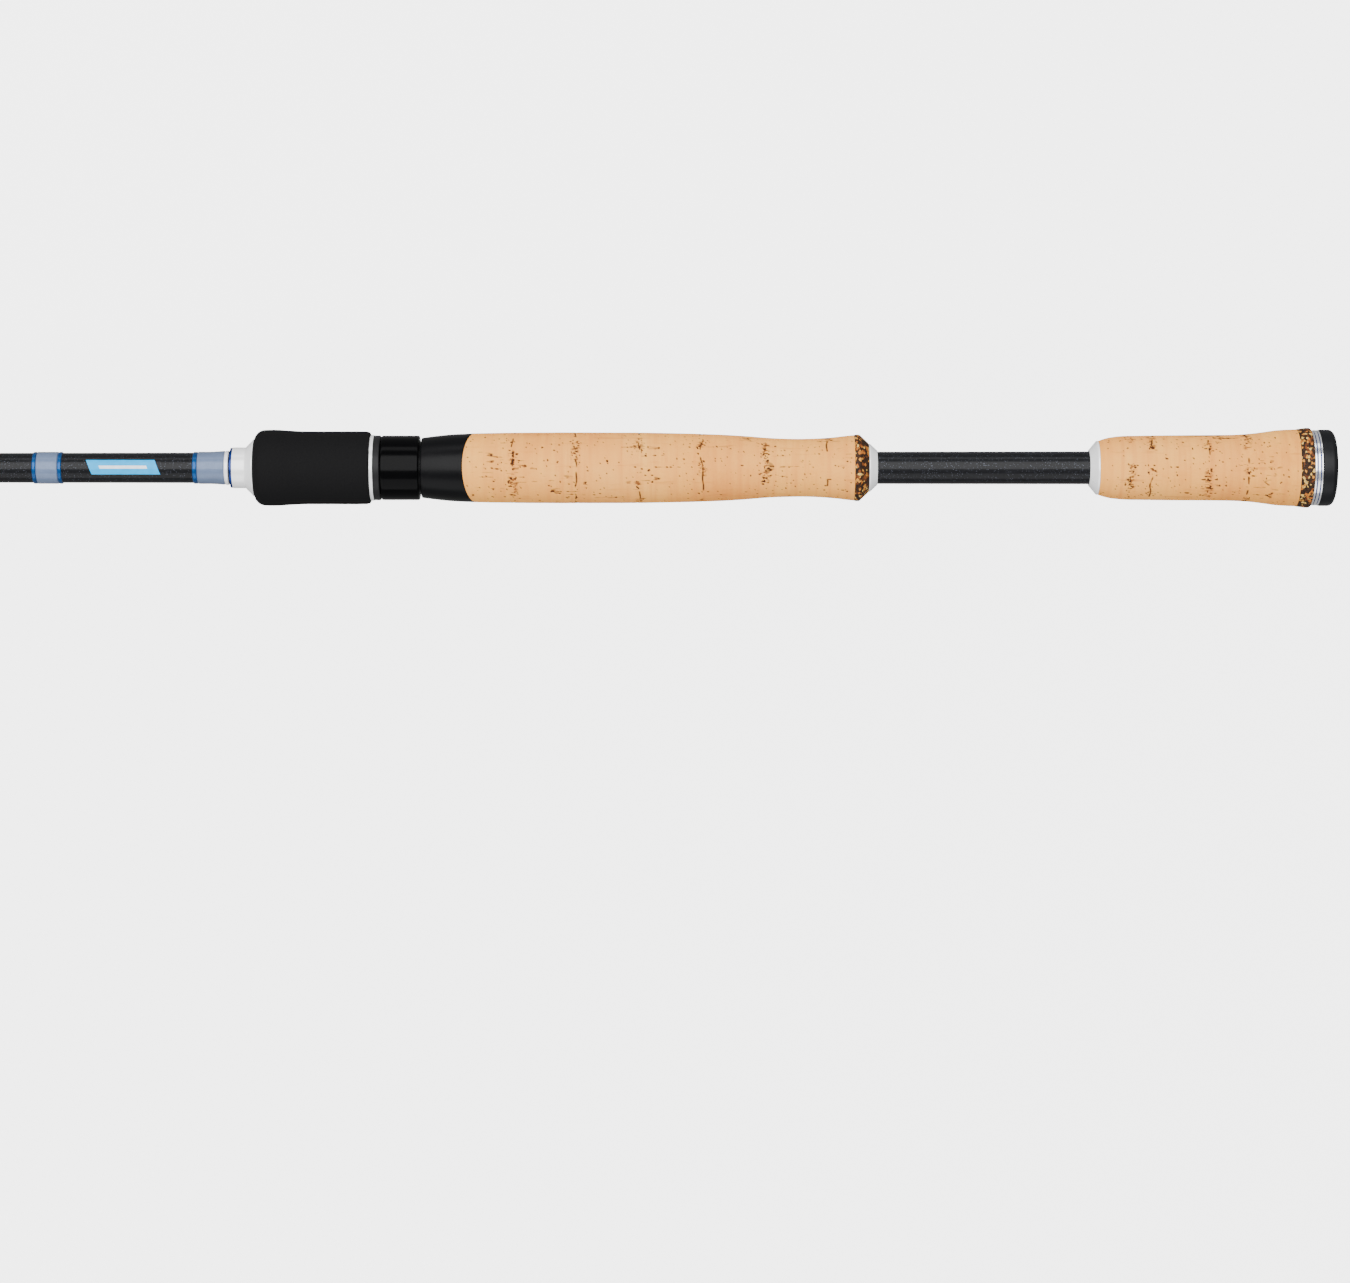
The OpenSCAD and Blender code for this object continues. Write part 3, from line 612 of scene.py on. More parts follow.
def cork_skin(name, table, from_s, to_s, angles, node, cut=None):
    """Grip surface with real pores and glue lines, turned in at both ends.

    A grip with cut is open below: cut gives the station of its front edge for an angle.
    """
    rows = int((to_s - from_s) / CORK_ROW)
    verts, faces, marks = [], [], []
    n = len(angles)
    columns = n - 1 if cut else n
    on_blank = from_s < SEAT_START
    for k in range(rows + 1):
        for a in angles:
            end = cut(a) if cut else to_s
            s = lerp(from_s, end, k / rows)
            r = spline(s, table)
            pit, worn, disc = cork_marks(s, r, a)
            if min(k, rows - k) < 2:
                pit = 0.0
            swell = 0.035 * noise.noise(Vector(on_rod(s, r, a)) * 0.16)
            verts.append(on_rod(s, r - 0.03 - PORE_DEPTH * pit + swell, a))
            marks.append((pit, worn, disc))
    for k in range(rows):
        for i in range(columns):
            j = (i + 1) % n
            faces.append((k * n + i, (k + 1) * n + i, (k + 1) * n + j, k * n + j))
    for k in (0, rows):
        base = len(verts)
        for i in range(n):
            x, y, z = verts[k * n + i]
            shrink = 6.2 / math.hypot(y, z) if on_blank and k == 0 else 0.72
            verts.append((x, y * shrink, z * shrink))
            marks.append((0.0, 0.0, marks[k * n + i][2]))
        for i in range(columns):
            j = (i + 1) % n
            quad = (k * n + i, k * n + j, base + j, base + i)
            faces.append(quad if k == 0 else tuple(reversed(quad)))
    pits, worn, discs = zip(*marks)
    mesh_object(
        name, verts, faces, MATERIALS["cork"], BUTT, [node],
        {"pit": pits, "worn": worn, "disc": discs}
    )


def slant_front(a):
    """Station of the slanted face at the surface of the cork, for an angle."""
    return SLANT_STATION - 0.05 + 11.9 * SLANT * math.cos(a)


def cork_grips():
    full = even_angles(CORK_COLUMNS)
    cork_skin("rear_cork_skin", REAR_GRIP, 12.82, 81.08, full, "rear_grip_cork")
    cork_skin("main_cork_rear_skin", MAIN_GRIP, 165.42, SEAT_START, full, "main_grip_cork")
    opening = math.radians(180 - 46.4)
    columns = 178
    angles = [lerp(-opening, opening, i / columns) for i in range(columns + 1)]
    cork_skin(
        "main_cork_front_skin", MAIN_GRIP, SEAT_START, 300.0, angles, "main_grip_cork", slant_front
    )
    inner, outer = 7.9, 8.87
    for side, label in SIDES:
        sections = []
        for s in (256.2, 265.0, 274.0, 283.0, 292.0):
            end = min(s, SLANT_STATION - BED * SLANT)
            sections.append([
                Vector((-end, side * inner, -BED + 0.35)), Vector((-end, side * outer, -BED + 0.35)),
                Vector((-end, side * (outer - 0.25), -BED)), Vector((-end, side * inner, -BED))
            ])
        lip = sweep(f"cork_lip_{label}", sections, MATERIALS["cork"], BUTT, ["main_grip_cork"])
        lip.data.shade_flat()


# ---- reel seat


def below(a):
    """Cosine and size of the sine of an angle measured from straight down."""
    return math.cos(a - math.pi), abs(math.sin(a - math.pi))


def boxed(a, half_width, depth, power=9.0):
    """Polar radius of a rounded box below the axis, or 0 above it."""
    down, across = below(a)
    if down <= 0.02:
        return 0.0
    return ((across / half_width) ** power + (down / depth) ** power) ** (-1 / power)


def joined(r1, r2, power=28.0):
    """Soft maximum of two radii. The second may be 0, which leaves the first as it is."""
    top = max(r1, r2)
    return top * ((r1 / top) ** power + (r2 / top) ** power) ** (1 / power)


def flattened(a, r):
    """Radius cut back to the flat bed on the reel side."""
    down, _ = below(a)
    return min(r, BED / down) if down > 0.05 else r


# Radius of the seat's flare by station.
FLARE = [[285, 12.05], [296, 11.88], [300, 11.74], [304.6, 11.5], [310, 10.95], [FLARE_END, 10.35]]
# Outer radius of the seat's tube and bore of the nut and hood, and the seat's own bore.
TUBE_R = 9.4
SEAT_BORE = 7.3
# Half width and depth of a mouth's outside and of the pocket for the reel's foot.
MOUTH_HALF, MOUTH_DEPTH = 8.85, 14.4
POCKET_HALF, POCKET_DEPTH = 7.6, 13.05
MOUTH_POWER = 5.0
# Half width and floor radius of the key slot on the spine side, and the barrel's thread.
KEY_HALF = 1.1
KEY_FLOOR = 8.2
THREAD_PITCH = 2.5
THREAD_ROOT = 8.72
THREAD_HEIGHT = 0.36
# Angles of the seat's and the hood's meshes, with extra ones where edges run.
COLUMNS = 144
SEAT_ANGLES = sorted(set(
    even_angles(COLUMNS)
    + [k * math.asin(w) % TAU for k in (-1, 1) for w in (0.118, 0.127)]
    + [(math.pi + k * math.radians(w)) % TAU for k in (-1, 1) for w in (31.2, 41.5, 43.4, 44.6)]
))
HOOD_ANGLES = sorted(set(
    even_angles(COLUMNS)
    + [(math.pi + k * math.radians(w)) % TAU for k in (-1, 1) for w in (29.0, 30.2, 31.4, 41.0)]
))


def fixed_hood(t):
    """Outer ring of the fixed hood, from its rounded heel at t = 0 to its mouth at t = 1."""
    station = lerp(SEAT_START, FIXED_MOUTH, t)
    rise = math.sqrt(1 - (1 - min(t / 0.55, 1.0)) ** 2)
    half, depth = lerp(7.9, MOUTH_HALF, rise), lerp(11.4, MOUTH_DEPTH, rise)
    shell_r = 9.5
    return lambda a: (station, joined(shell_r, boxed(a, half, depth, MOUTH_POWER)))


def mouth_edge(a):
    """Rounded front edge of the fixed hood."""
    edge_r, inset = 9.45, 0.25
    return joined(edge_r, boxed(a, MOUTH_HALF - inset, MOUTH_DEPTH - inset, MOUTH_POWER))


def foot_pocket(a, floor_r, extra=0.0):
    """Inside of a mouth, where the reel's foot goes."""
    return max(boxed(a, POCKET_HALF + extra, POCKET_DEPTH + extra), floor_r)


def bed_rim(a):
    """Outside of the tube under the cork, cut to the bed and widened to square edges along it."""
    square = boxed(a, 8.0, BED, 60.0) if below(a)[0] > 0.66 else 0.0
    return flattened(a, max(square, TUBE_R))


def slant(a, r):
    """Station of the slanted joint at a radius and an angle."""
    return SLANT_STATION + r * SLANT * math.cos(a)


def flare(t):
    """Ring of the seat's flare, from the slanted joint at t = 0 to the barrel at t = 1."""

    def ring(a):
        s = lerp(slant(a, 11.86) + 0.22, FLARE_END - 0.3, t)
        return s, flattened(a, spline(s, FLARE))

    return ring


def thread(s, a):
    """Radius of the barrel: a thread with its ends faded out, cut by the key slot and the bed."""
    turn = (s - FLARE_END) / THREAD_PITCH + a / TAU
    wave = abs(turn % 1.0 - 0.5) * 2
    ends = smooth(0.2, 1.6, s - FLARE_END) * smooth(0.2, 1.2, BARREL_END - s)
    r = THREAD_ROOT + THREAD_HEIGHT * (smooth(0.30, 0.62, wave) * ends)
    up, across = math.cos(a), abs(math.sin(a))
    if up > 0 and across * r < KEY_HALF:
        r = min(r, KEY_FLOOR / up)
    return flattened(a, r)


def seat_body():
    heel_rows, flare_rows, thread_rows = 26, 12, 190
    pocket_end = FIXED_MOUTH - 9.6

    def inside(a, opened=0.0):
        return max(foot_pocket(a, 7.4) + opened, flattened(a, TUBE_R))

    rings = [lambda a: (SEAT_START, SEAT_BORE)]
    rings += [fixed_hood(i / heel_rows) for i in range(heel_rows + 1)]
    rings += [
        lambda a: (FIXED_MOUTH + 0.12, mouth_edge(a)),
        lambda a: (FIXED_MOUTH, inside(a, 0.15)),
        lambda a: (FIXED_MOUTH - 0.2, inside(a)),
        lambda a: (pocket_end, inside(a)),
        lambda a: (pocket_end, flattened(a, TUBE_R)),
        lambda a: (FIXED_MOUTH, flattened(a, TUBE_R)),
        lambda a: (FIXED_MOUTH + 0.1, bed_rim(a)),
        lambda a: (284.0, bed_rim(a)),
        lambda a: (slant(a, TUBE_R) - 0.02, bed_rim(a)),
        lambda a: (slant(a, 11.7) + 0.04, flattened(a, 11.68)),
    ]
    rings += [flare(i / flare_rows) for i in range(flare_rows + 1)]
    rings += [
        lambda a: (FLARE_END - 0.08, flattened(a, 10.25)),
        lambda a: (FLARE_END, flattened(a, 10.05)),
        lambda a: (FLARE_END, flattened(a, 8.8)),
    ]
    for i in range(thread_rows + 1):
        s = lerp(FLARE_END + 0.05, BARREL_END - 0.02, i / thread_rows)
        rings.append(lambda a, s=s: (s, thread(s, a)))
    rings.append(lambda a: (BARREL_END, SEAT_BORE))
    skin("reel_seat_skin", rings, SEAT_ANGLES, MATERIALS["seat_plastic"], BUTT, ["reel_seat_body"])


def hood_shell(t, inset=0.0):
    """Outer ring of the sliding hood: square at the mouth at t = 0, leaner at the nut at t = 1."""
    lean = smooth(0.35, 1.0, t)
    half = lerp(MOUTH_HALF, 8.3, lean) - inset
    depth = lerp(MOUTH_DEPTH, 13.2, lean) - inset
    r = 11.13 - inset
    station = HOOD_START + t * (HOOD_END - HOOD_START)
    return lambda a: (station, joined(r, boxed(a, half, depth, MOUTH_POWER)))


def sliding_hood():
    rings = [hood_shell(t, inset) for t, inset in ((0.0, 0.42), (0.006, 0.22), (0.02, 0.07))]
    rings += [hood_shell(t) for t in (0.045, 0.12, 0.2, 0.3, 0.4, 0.5, 0.6, 0.7, 0.8, 0.9, 0.955)]
    rings += [hood_shell(t, inset) for t, inset in ((0.98, 0.07), (0.994, 0.22), (1.0, 0.45))]
    rings += [
        lambda a: (HOOD_END, TUBE_R + 0.2),
        lambda a: (HOOD_END - 0.2, TUBE_R),
        lambda a: (HOOD_START + 9.7, TUBE_R),
        lambda a: (HOOD_START + 9.6, foot_pocket(a, TUBE_R)),
        lambda a: (HOOD_START + 0.3, foot_pocket(a, TUBE_R)),
        lambda a: (HOOD_START, foot_pocket(a, TUBE_R + 0.18, 0.18)),
    ]
    skin("sliding_hood_skin", rings, HOOD_ANGLES, MATERIALS["hood_plastic"], "hood", ["sliding_hood"])


# ---- locking foregrip


def locking_foregrip():
    body = "locking_foregrip"
    start = HOOD_END + 0.3
    nut_r, foam_bore = 10.4, 10.43
    flange = [
        (TUBE_R, start), (10.9, start), (11.18, start + 0.25), (11.18, FLANGE_END), (TUBE_R, FLANGE_END)
    ]
    turned("lock_nut_flange_skin", rounded(flange, 0.1), "nut_plastic", body, ["lock_nut"])
    sleeve = tube(TUBE_R, nut_r, FLANGE_END, SLEEVE_END)
    turned("lock_nut_sleeve_skin", sleeve, "nut_plastic", body, ["lock_nut"], 96)
    ring = tube(foam_bore, 11.3, FLANGE_END + 0.02, FOAM_START - 0.02)
    turned("nut_trim_ring_skin", rounded(ring, 0.12), "aluminium_bright", body, ["nut_trim_ring"])
    straight = FOAM_START + 5
    foam = [
        (foam_bore, FOAM_START), (11.7, FOAM_START), (12.3, FOAM_START + 0.35),
        (12.55, FOAM_START + 1.4), (12.6, straight)
    ]
    grip = [
        [straight, 12.6], [FOAM_END - 17, 12.6], [FOAM_END - 12, 12.85], [FOAM_END - 8, 13.1],
        [FOAM_END - 4.4, 13.1], [FOAM_END - 3, 12.98], [FOAM_END - 1.9, 12.6], [FOAM_END - 1, 11.9],
        [FOAM_END - 0.35, 11.0], [FOAM_END, 10.1]
    ]
    rows = 90
    for i in range(1, rows + 1):
        s = lerp(straight, FOAM_END, i / rows)
        foam.append((spline(s, grip), s))
    room = BARREL_END + 1.5
    foam += [
        (7.32, FOAM_END), (7.32, room), (9.6, room), (9.6, SLEEVE_END + 0.1), (foam_bore, SLEEVE_END + 0.1)
    ]
    turned("foregrip_foam_skin", foam, "eva_foam", body, ["foregrip_foam"], 144)
    cylinder_r, flange_r, front = 7.02, 9.78, CYLINDER_END - 0.02
    check = [
        (TRAVEL_BORE, FOAM_END + 0.02), (flange_r, FOAM_END + 0.02), (flange_r, FOAM_END + 0.5),
        (9.3, FOAM_END + 0.85), (7.55, CYLINDER_START - 0.1), (cylinder_r, CYLINDER_START + 0.35),
        (cylinder_r, front), (TRAVEL_BORE, front)
    ]
    turned("front_check_skin", rounded(check, 0.14), "aluminium_bright", body, ["front_check"])
    inner = tube(TRAVEL_BORE, 7.27, FOAM_END - 8, FOAM_END)
    turned("front_check_sleeve_skin", inner, "aluminium_bright", body, ["front_check"], 96)
    accent = tube(TRAVEL_BORE, 6.92, CYLINDER_END, CYLINDER_END + 0.75)
    turned("accent_ring_skin", rounded(accent, 0.12), "blue_anodised", body, ["accent_ring"])


def seat_arbors():
    length, radius, glue = 10, 7.1, 0.03
    for k, s in enumerate((262.0, 303.0, 346.0)):
        bush = tube(butt_r(s) + glue, radius, s, s + length)
        turned(f"seat_arbor_skin_{k + 1}", rounded(bush, 0.3), "arbor_foam", BUTT, ["seat_arbors"], 72)


# ---- thread bands


def band_rows(from_s, to_s):
    """Stations through a band, close enough to show each turn of thread."""
    count = max(6, int((to_s - from_s) / (WIND / 3)))
    return [lerp(from_s, to_s, i / count) for i in range(count + 1)]


def ridge(s, a):
    """Depth below the crest of the thread at a station and an angle."""
    return RIDGE * (0.5 + 0.5 * math.cos(TAU * (s / WIND + a / TAU)))


def wound_band(name, radius, from_s, to_s, build, slot, body, node, columns=72):
    """Thread under epoxy about the blank: domed ends and a fine ridge at each turn."""
    rings = [lambda a, s=from_s: (s, radius(s) + 0.02)]
    for s in band_rows(from_s, to_s):
        edge = min(smooth(0.0, 0.35, s - from_s + 0.05), smooth(0.0, 0.35, to_s - s + 0.05))
        rings.append(lambda a, s=s, edge=edge: (s, radius(s) + build * edge - ridge(s, a)))
    rings.append(lambda a, s=to_s: (s, radius(s) + 0.02))
    skin(name, rings, even_angles(columns), MATERIALS[slot], body, [node])


def seat_wrap_r(s):
    """The blank with the thread built up at the seat."""
    return butt_r(s) + 0.32 * (1 - smooth(381.0, 388.0, s))


def butt_bands():
    rear, front = BUTT_END - 12.1, BUTT_END - 0.1
    for name, radius, from_s, to_s, build, slot, node in (
        ("seat_wrap_collar", seat_wrap_r, 381.05, 382.5, 0.32, "aluminium_bright", "seat_wrap"),
        ("seat_wrap_skin", seat_wrap_r, 382.5, 391.9, 0.3, "thread_grey", "seat_wrap"),
        ("seat_wrap_trim_skin", butt_r, 391.9, 393.45, 0.27, "thread_blue", "seat_wrap_trim"),
        ("deco_wrap_skin", butt_r, 439.9, 447.3, 0.34, "thread_grey", "deco_wrap"),
        ("deco_trim_skin_1", butt_r, 438.5, 439.9, 0.33, "thread_blue", "deco_trims"),
        ("deco_trim_skin_2", butt_r, 447.3, 448.7, 0.33, "thread_blue", "deco_trims"),
        ("ferrule_rear_edge_skin", butt_r, rear, rear + 0.7, 0.3, "thread_grey", "butt_ferrule_wrap"),
        ("ferrule_rear_trim_skin", butt_r, rear + 0.7, rear + 2.1, 0.42, "thread_blue", "butt_ferrule_trims"),
        ("ferrule_rear_wrap_skin", butt_r, rear + 2.1, front - 0.9, 0.42, "thread_grey", "butt_ferrule_wrap"),
        ("ferrule_rear_end_skin", butt_r, front - 0.9, front, 0.3, "carbon_butt", "butt_ferrule_wrap"),
    ):
        wound_band(name, radius, from_s, to_s, build, slot, BUTT, node)


def tip_bands():
    rear, front = TIP_START + 0.1, TIP_START + 12.1
    top_rear, top_front = ROD_LENGTH - 22.2, ROD_LENGTH - 12.6
    for name, from_s, to_s, build, slot, node, columns in (
        ("ferrule_front_end_skin", rear, rear + 1.0, 0.36, "carbon_butt", "tip_ferrule_wrap", 72),
        ("ferrule_front_wrap_skin", rear + 1.0, front - 2.1, 0.5, "thread_grey", "tip_ferrule_wrap", 72),
        ("ferrule_front_trim_skin", front - 2.1, front - 0.7, 0.5, "thread_blue", "tip_ferrule_trims", 72),
        ("ferrule_front_edge_skin", front - 0.7, front, 0.36, "thread_grey", "tip_ferrule_wrap", 72),
        ("tip_top_wrap_end_skin", top_rear, top_rear + 0.6, 0.22, "carbon_butt", "tip_top_wrap", 48),
        ("tip_top_wrap_skin", top_rear + 0.6, top_front, 0.32, "thread_grey", "tip_top_wrap", 48),
    ):
        wound_band(name, tip_r, from_s, to_s, build, slot, TIP, node, columns)


# ---- blanks


def blanks():
    rear, spigot_r, spigot_end = 2.6, 3.4, TIP_START + 52
    outline = [(butt_r(s) - 0.015, s) for s in (rear, 200, 500, 800, BUTT_END - 0.3)]
    outline += [
        (butt_r(BUTT_END) - 0.1, BUTT_END), (3.5, BUTT_END), (3.5, BUTT_END - 1), (4.4, 4.0), (4.4, rear)
    ]
    turned("butt_blank_skin", outline, "carbon_butt", BUTT, ["butt_blank"], 96)
    spigot = [
        (0.0, 1008), (spigot_r, 1008), (spigot_r, BUTT_END), (3.22, spigot_end - 1),
        (3.0, spigot_end - 0.3), (2.6, spigot_end), (0.0, spigot_end)
    ]
    turned("spigot_skin", spigot, "carbon_tip", BUTT, ["spigot"], 72)
    socket_r = 3.45
    outline = [(socket_r, TIP_START + 1), (socket_r, TIP_START), (tip_r(TIP_START) - 0.1, TIP_START)]
    outline += [(tip_r(s), s) for s in (TIP_START + 0.3, 1200, 1375, 1500, 1650, 1788, 1950, BLANK_END)]
    outline += [(0.0, BLANK_END), (0.0, 1900), (2.3, 1500), (2.95, 1375), (3.27, 1130)]
    turned("tip_blank_skin", outline, "carbon_tip", TIP, ["tip_blank"], 72)


def film(name, from_s, to_s, half_width, lean, clearance, slot):
    """A thin slanted bar of film on the spine side of the blank."""
    rows, columns, thickness = 40, 16, 0.02
    verts = []
    for lift in (0.0, thickness):
        for k in range(rows + 1):
            for i in range(columns + 1):
                v = lerp(-1, 1, i / columns)
                s = lerp(from_s, to_s, k / rows) + lean * v
                r = butt_r(s) + clearance + lift
                verts.append(on_rod(s, r, v * half_width / r))
    n = columns + 1
    top = (rows + 1) * n
    faces = []
    for k in range(rows):
        for i in range(columns):
            q = (k * n + i, k * n + i + 1, (k + 1) * n + i + 1, (k + 1) * n + i)
            faces.append(tuple(top + x for x in reversed(q)))
            faces.append(q)
    rim = [k * n for k in range(rows)] + [rows * n + i for i in range(columns)]
    rim += [(rows - k) * n + columns for k in range(rows)] + [columns - i for i in range(columns)]
    for a, b in zip(rim, rim[1:] + rim[:1]):
        faces.append((a, b, top + b, top + a))
    mesh_object(name, verts, faces, MATERIALS[slot], BUTT, ["blank_badge"])


def badges():
    film("badge_bar", 405.4, 429.0, 2.6, 1.0, 0.0, "badge_film")
    film("badge_stripe", 409.0, 425.4, 0.55, 0.2, 0.02, "pale_film")


# ---- guides

# For each guide, tip to handle: distance from the tip, outer size of the ring, drop of the ring's
# middle below the blank, lead of the ring ahead of the wrap, and length of the wrap.
SPOTS = [96, 202, 326, 464, 620, 808]
SIZES = [5.2, 5.2, 5.3, 8.0, 15.0, 25.7]
DROPS = [4.3, 4.3, 4.3, 9.0, 21.0, 38.7]
LEADS = [1.0, 1.0, 1.0, 3.0, 8.0, 14.7]
WRAPS = [10.0, 10.5, 10.5, 13.0, 17.0, 23.0]
RING_TILT = math.radians(4.3)


def band_t(size):
    """Thickness of the metal band of a ring of this outer size."""
    return 0.3 + size / 34


def foot_t(size):
    """Thickness of the foot of a guide of this size."""
    return 0.45 + size / 60


def foot_w(size):
    """Width of the foot of a guide of this size."""
    return 0.9 + size / 9


def ring_place(station, z, tilt):
    """Puts a ring, drawn about its own axis, at a station and height, its lower edge leaning forward."""
    turn = Matrix.Rotation(-tilt, 3, "Y")
    centre = Vector((-station, 0, z))

    def place(s, r, a):
        return tuple(centre + turn @ Vector((-s, r * math.sin(a), r * math.cos(a))))

    return place


def ring_pieces(label, size, place, replaced_band, replaced_ring, columns):
    """Metal band and ceramic insert of one line ring."""
    w, t = 1.3 + size / 18, band_t(size)
    outer = size / 2
    band = rounded([
        (outer - t, -w / 2), (outer - t * 0.45, -w / 2), (outer, -w * 0.3), (outer, w * 0.3),
        (outer - t * 0.45, w / 2), (outer - t, w / 2)
    ], 0.3 * t + 0.05)
    turned(f"{label}_band_skin", band, "guide_steel", TIP, replaced_band, columns, place)
    wide = (w + 0.5) / 2
    thick = 0.55 + size / 22
    out_r = outer - t + 0.02
    outline = [(out_r, -wide * 0.86), (out_r - thick * 0.12, -wide)]
    for k in range(-6, 7):
        a = math.radians(k * 14)
        outline.append((out_r - thick * (0.22 + 0.78 * math.cos(a)), wide * math.sin(a)))
    outline += [(out_r - thick * 0.12, wide), (out_r, wide * 0.86)]
    turned(f"{label}_ceramic_skin", outline, "ceramic_dark", TIP, replaced_ring, columns, place)


def steel_strip(name, path, width, thick, side, node, corners=12):
    """A closed strip of stamped steel along a path."""
    sections = strip_sections(path, width, thick, Vector(side), corners)
    sweep(name, sections, MATERIALS["guide_steel"], TIP, [node])


def guide_legs(i, place):
    """Stamped foot and two legs of one guide, in one closed strip each."""
    size, lead, drop, wrap = SIZES[i], LEADS[i], DROPS[i], WRAPS[i]
    node = f"guide_frame_{i + 1}"
    thick, width = foot_t(size), foot_w(size)
    front = ROD_LENGTH - SPOTS[i] - lead
    under = -tip_r(front) - 0.03 - thick / 2
    reach = size / 2 - band_t(size) / 2
    foot = curve_points([
        (-front + wrap - 2.2, 0, -tip_r(front - wrap) - 0.12),
        (-front + wrap * 0.5, 0, under + 0.1 * thick), (-front - 0.1, 0, under)
    ], 8)
    steel_strip(
        f"guide_{i + 1}_foot_skin", foot, lambda t: width * lerp(0.45, 1.0, smooth(0, 0.7, t)),
        lambda t: thick * lerp(0.25, 1.0, smooth(0, 0.8, t)), (0, 1, 0), node
    )
    bar = 0.5 + size / 18
    spread = math.radians(33)

    def leg_width(t):
        return lerp(width * 0.52, bar, smooth(0.0, 0.4, t)) * lerp(1.0, 0.75, smooth(0.8, 1.0, t))

    for side, label in SIDES:
        end = Vector(place(0.0, reach, side * spread))
        tangent = Vector(place(0.0, reach, side * (spread + 0.5)))
        heel = Vector((-front + min(2.5, wrap * 0.2), side * width * 0.22, under))
        knee_out = side * (width * 0.22 + size * 0.045)
        knee = Vector((-front - lead * 0.37, knee_out, under - drop * 0.17))
        throat = Vector((-front - lead * 0.05, side * width * 0.23, under - drop * 0.03))
        path = curve_points([heel, throat, knee, knee.lerp(end, 0.5), end, end.lerp(tangent, 0.75)], 7)
        steel_strip(
            f"guide_{i + 1}_leg_{label}_skin", path, leg_width,
            lambda t: thick * lerp(0.95, 0.72, t), (0, 1, 0.12 * side), node
        )


def guide_wrap(i):
    """Thread over blank and foot: round on the spine side and swelled over the foot."""
    size = SIZES[i]
    front = ROD_LENGTH - SPOTS[i] - LEADS[i]
    rear = front - WRAPS[i]
    thick, width = foot_t(size), foot_w(size)

    def radius(s, a):
        r = tip_r(s) + 0.3
        grow = smooth(0.12, 0.75, (s - rear) / (front - rear))
        return joined(r, boxed(a, width / 2 + 0.42, r + thick * grow, 3.2), 14.0)

    spans = [(rear, front, "thread_grey", f"guide_{i + 1}_wrap_skin", f"guide_wrap_{i + 1}", 0.0)]
    if size == max(SIZES):
        spans = [
            (rear, rear + 1.3, "thread_blue", "stripper_rear_trim_skin", "stripper_trims", 0.03),
            (rear + 1.3, front - 2.0, "thread_grey", "guide_6_wrap_skin", "guide_wrap_6", 0.0),
            (front - 2.0, front - 0.7, "thread_blue", "stripper_front_trim_skin", "stripper_trims", 0.03),
            (front - 0.7, front, "carbon_butt", "guide_6_wrap_end_skin", "guide_wrap_6", 0.0),
        ]
    for lo, hi, slot, name, node, extra in spans:
        rings = [lambda a, s=lo: (s, tip_r(s) + 0.01)]
        for s in band_rows(lo, hi):
            edge = min(smooth(0.0, 0.5, s - lo + 0.12), smooth(0.0, 0.5, hi - s + 0.12))
            rings.append(lambda a, s=s, edge=edge, extra=extra: (
                s, lerp(tip_r(s) + 0.05, radius(s, a) + extra, edge) - ridge(s, a)
            ))
        rings.append(lambda a, s=hi: (s, tip_r(s) + 0.01))
        skin(name, rings, even_angles(56), MATERIALS[slot], TIP, [node])


def guides():
    for i, size in enumerate(SIZES):
        station = ROD_LENGTH - SPOTS[i]
        place = ring_place(station, -tip_r(station) - DROPS[i], RING_TILT)
        ring_pieces(
            f"guide_{i + 1}", size, place, [f"guide_frame_{i + 1}"], [f"guide_ring_{i + 1}"],
            96 if size > 10 else 56
        )
        guide_legs(i, place)
        guide_wrap(i)


def tip_top():
    size, node = 5.4, "tip_top_frame"
    place = ring_place(ROD_LENGTH, -3.4, math.radians(12))
    ring_pieces("tip_top", size, place, [node], ["tip_top_ring"], 64)
    rear, front = ROD_LENGTH - 12.5, ROD_LENGTH - 3.1
    bore, radius, end_bore = 0.78, 0.95, 0.62
    outline = [
        (bore, rear), (radius, rear), (radius, front), (end_bore, front), (end_bore, front - 2),
        (bore, front - 2)
    ]
    turned("tip_top_tube_skin", rounded(outline, 0.08), "guide_steel", TIP, [node], 40)
    reach = size / 2 - band_t(size) / 2
    top = place(0.0, reach, 0.0)
    upper = curve_points([(-front + 1.5, 0, 0.55), (-front - 0.5, 0, 0.5), (-front - 1.6, 0, 0.0), top], 6)
    steel_strip("tip_top_upper_strut_skin", upper, lambda t: 0.75, lambda t: 0.5, (0, 1, 0), node, 10)
    for side, label in SIDES:
        end = Vector(place(0.0, reach, side * math.radians(97)))
        bend = Vector((-rear - 3.6, side * 0.55, -1.0))
        lower = curve_points([(-rear - 2.2, side * 0.35, -0.72), bend, bend.lerp(end, 0.55), end], 6)
        steel_strip(
            f"tip_top_lower_strut_{label}_skin", lower, lambda t: 0.62,
            lambda t: 0.5, (0, 1, 0), node, 10
        )


# ---- studio


def area_light(name, location, target, size, power):
    data = bpy.data.lights.new(name, "AREA")
    data.shape = "RECTANGLE"
    data.size, data.size_y = size
    data.energy = power
    obj = new_object(name, data)
    obj.location = location
    obj.rotation_mode = "QUATERNION"
    obj.rotation_quaternion = (Vector(target) - Vector(location)).to_track_quat("-Z", "Y")
    obj.visible_camera = False
    return obj


ROOM_LIGHT = 0.35
BACKDROP_LIGHT = 2.9
FLOOR_HALF = 6.0
FLOOR_HEIGHT = -0.35


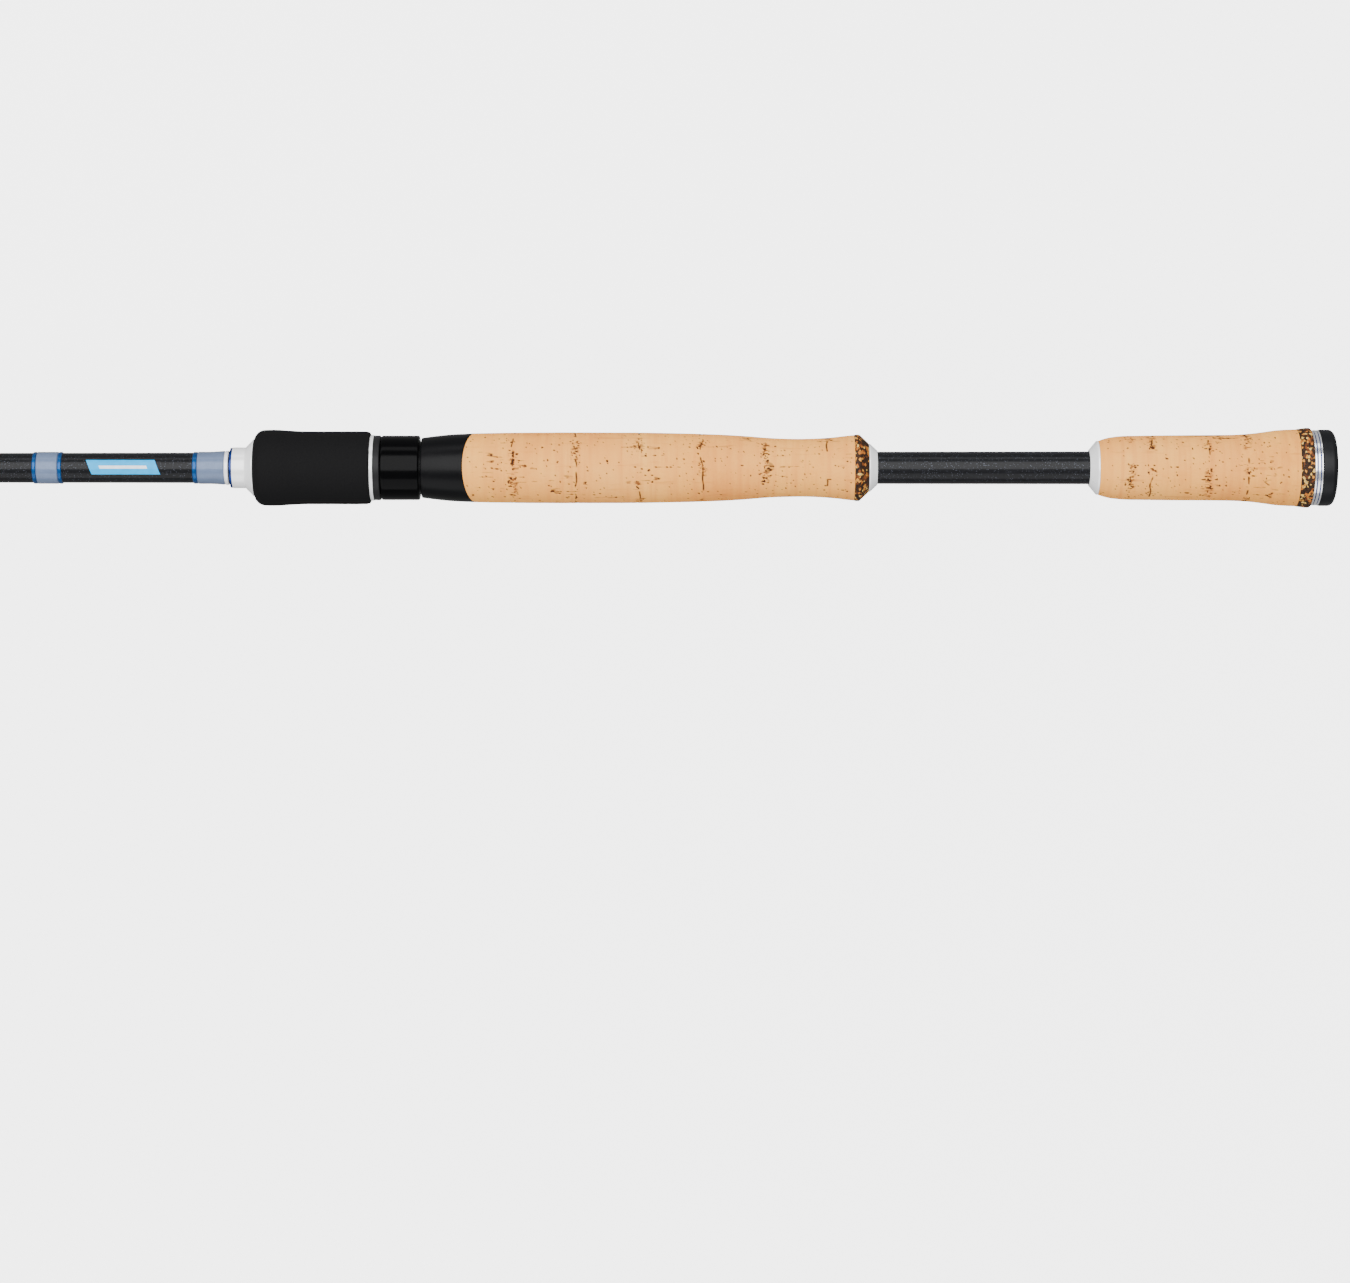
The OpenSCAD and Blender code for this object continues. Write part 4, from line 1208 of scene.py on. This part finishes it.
def studio():
    """Pale floor and soft lights. The backdrop is bright to the camera and dim to everything else."""
    sides = (-FLOOR_HALF, FLOOR_HALF)
    corners = [(x, y, FLOOR_HEIGHT) for y in sides for x in sides]
    floor_mesh = bpy.data.meshes.new("floor")
    floor_mesh.from_pydata(corners, [], [(0, 1, 3, 2)])
    floor = new_object("floor", floor_mesh)
    floor.visible_diffuse = floor.visible_glossy = floor.visible_shadow = False
    m = Nodes("floor")
    m.set(
        Base_Color=(0.94, 0.94, 0.94, 1), Roughness=0.9, Specular_IOR_Level=0.0,
        Emission_Color=(1.0, 1.0, 1.0, 1), Emission_Strength=BACKDROP_LIGHT - 0.3
    )
    floor_mesh.materials.append(m.material)
    world = bpy.data.worlds.new("studio")
    bpy.context.scene.world = world
    world.use_nodes = True
    tree = world.node_tree
    background = tree.nodes["Background"].inputs
    background["Color"].default_value = (1.0, 1.0, 1.0, 1)
    seen = tree.nodes.new("ShaderNodeLightPath").outputs["Is Camera Ray"]
    strength = tree.nodes.new("ShaderNodeMapRange")
    strength.inputs["To Min"].default_value = ROOM_LIGHT
    strength.inputs["To Max"].default_value = BACKDROP_LIGHT
    tree.links.new(seen, strength.inputs["Value"])
    tree.links.new(strength.outputs["Result"], background["Strength"])
    middle = (-0.8, 0, 0)
    area_light("softbox", (-0.8, 0.55, 2.1), middle, (4.4, 2.2), 158)
    area_light("strip", (-0.8, 1.9, 0.7), middle, (4.0, 0.5), 16)
    area_light("fill", (-0.8, -1.9, 0.9), middle, (4.0, 1.6), 40)
    bounce = area_light("bounce", (-1.06, 0, -0.33), (-1.06, 0, 0), (3.6, 1.4), 9)
    bounce.visible_glossy = False


def camera():
    data = bpy.data.cameras.new("camera")
    data.lens = 98.8
    data.sensor_width = 36
    data.clip_start, data.clip_end = 0.05, 50
    obj = new_object("camera", data)
    obj.location = (-0.2272, -0.060, 1.28)
    bpy.context.scene.camera = obj


butt_cap()
butt_rings()
checks()
cork_grips()
seat_body()
sliding_hood()
locking_foregrip()
seat_arbors()
butt_bands()
tip_bands()
blanks()
badges()
guides()
tip_top()
studio()
camera()
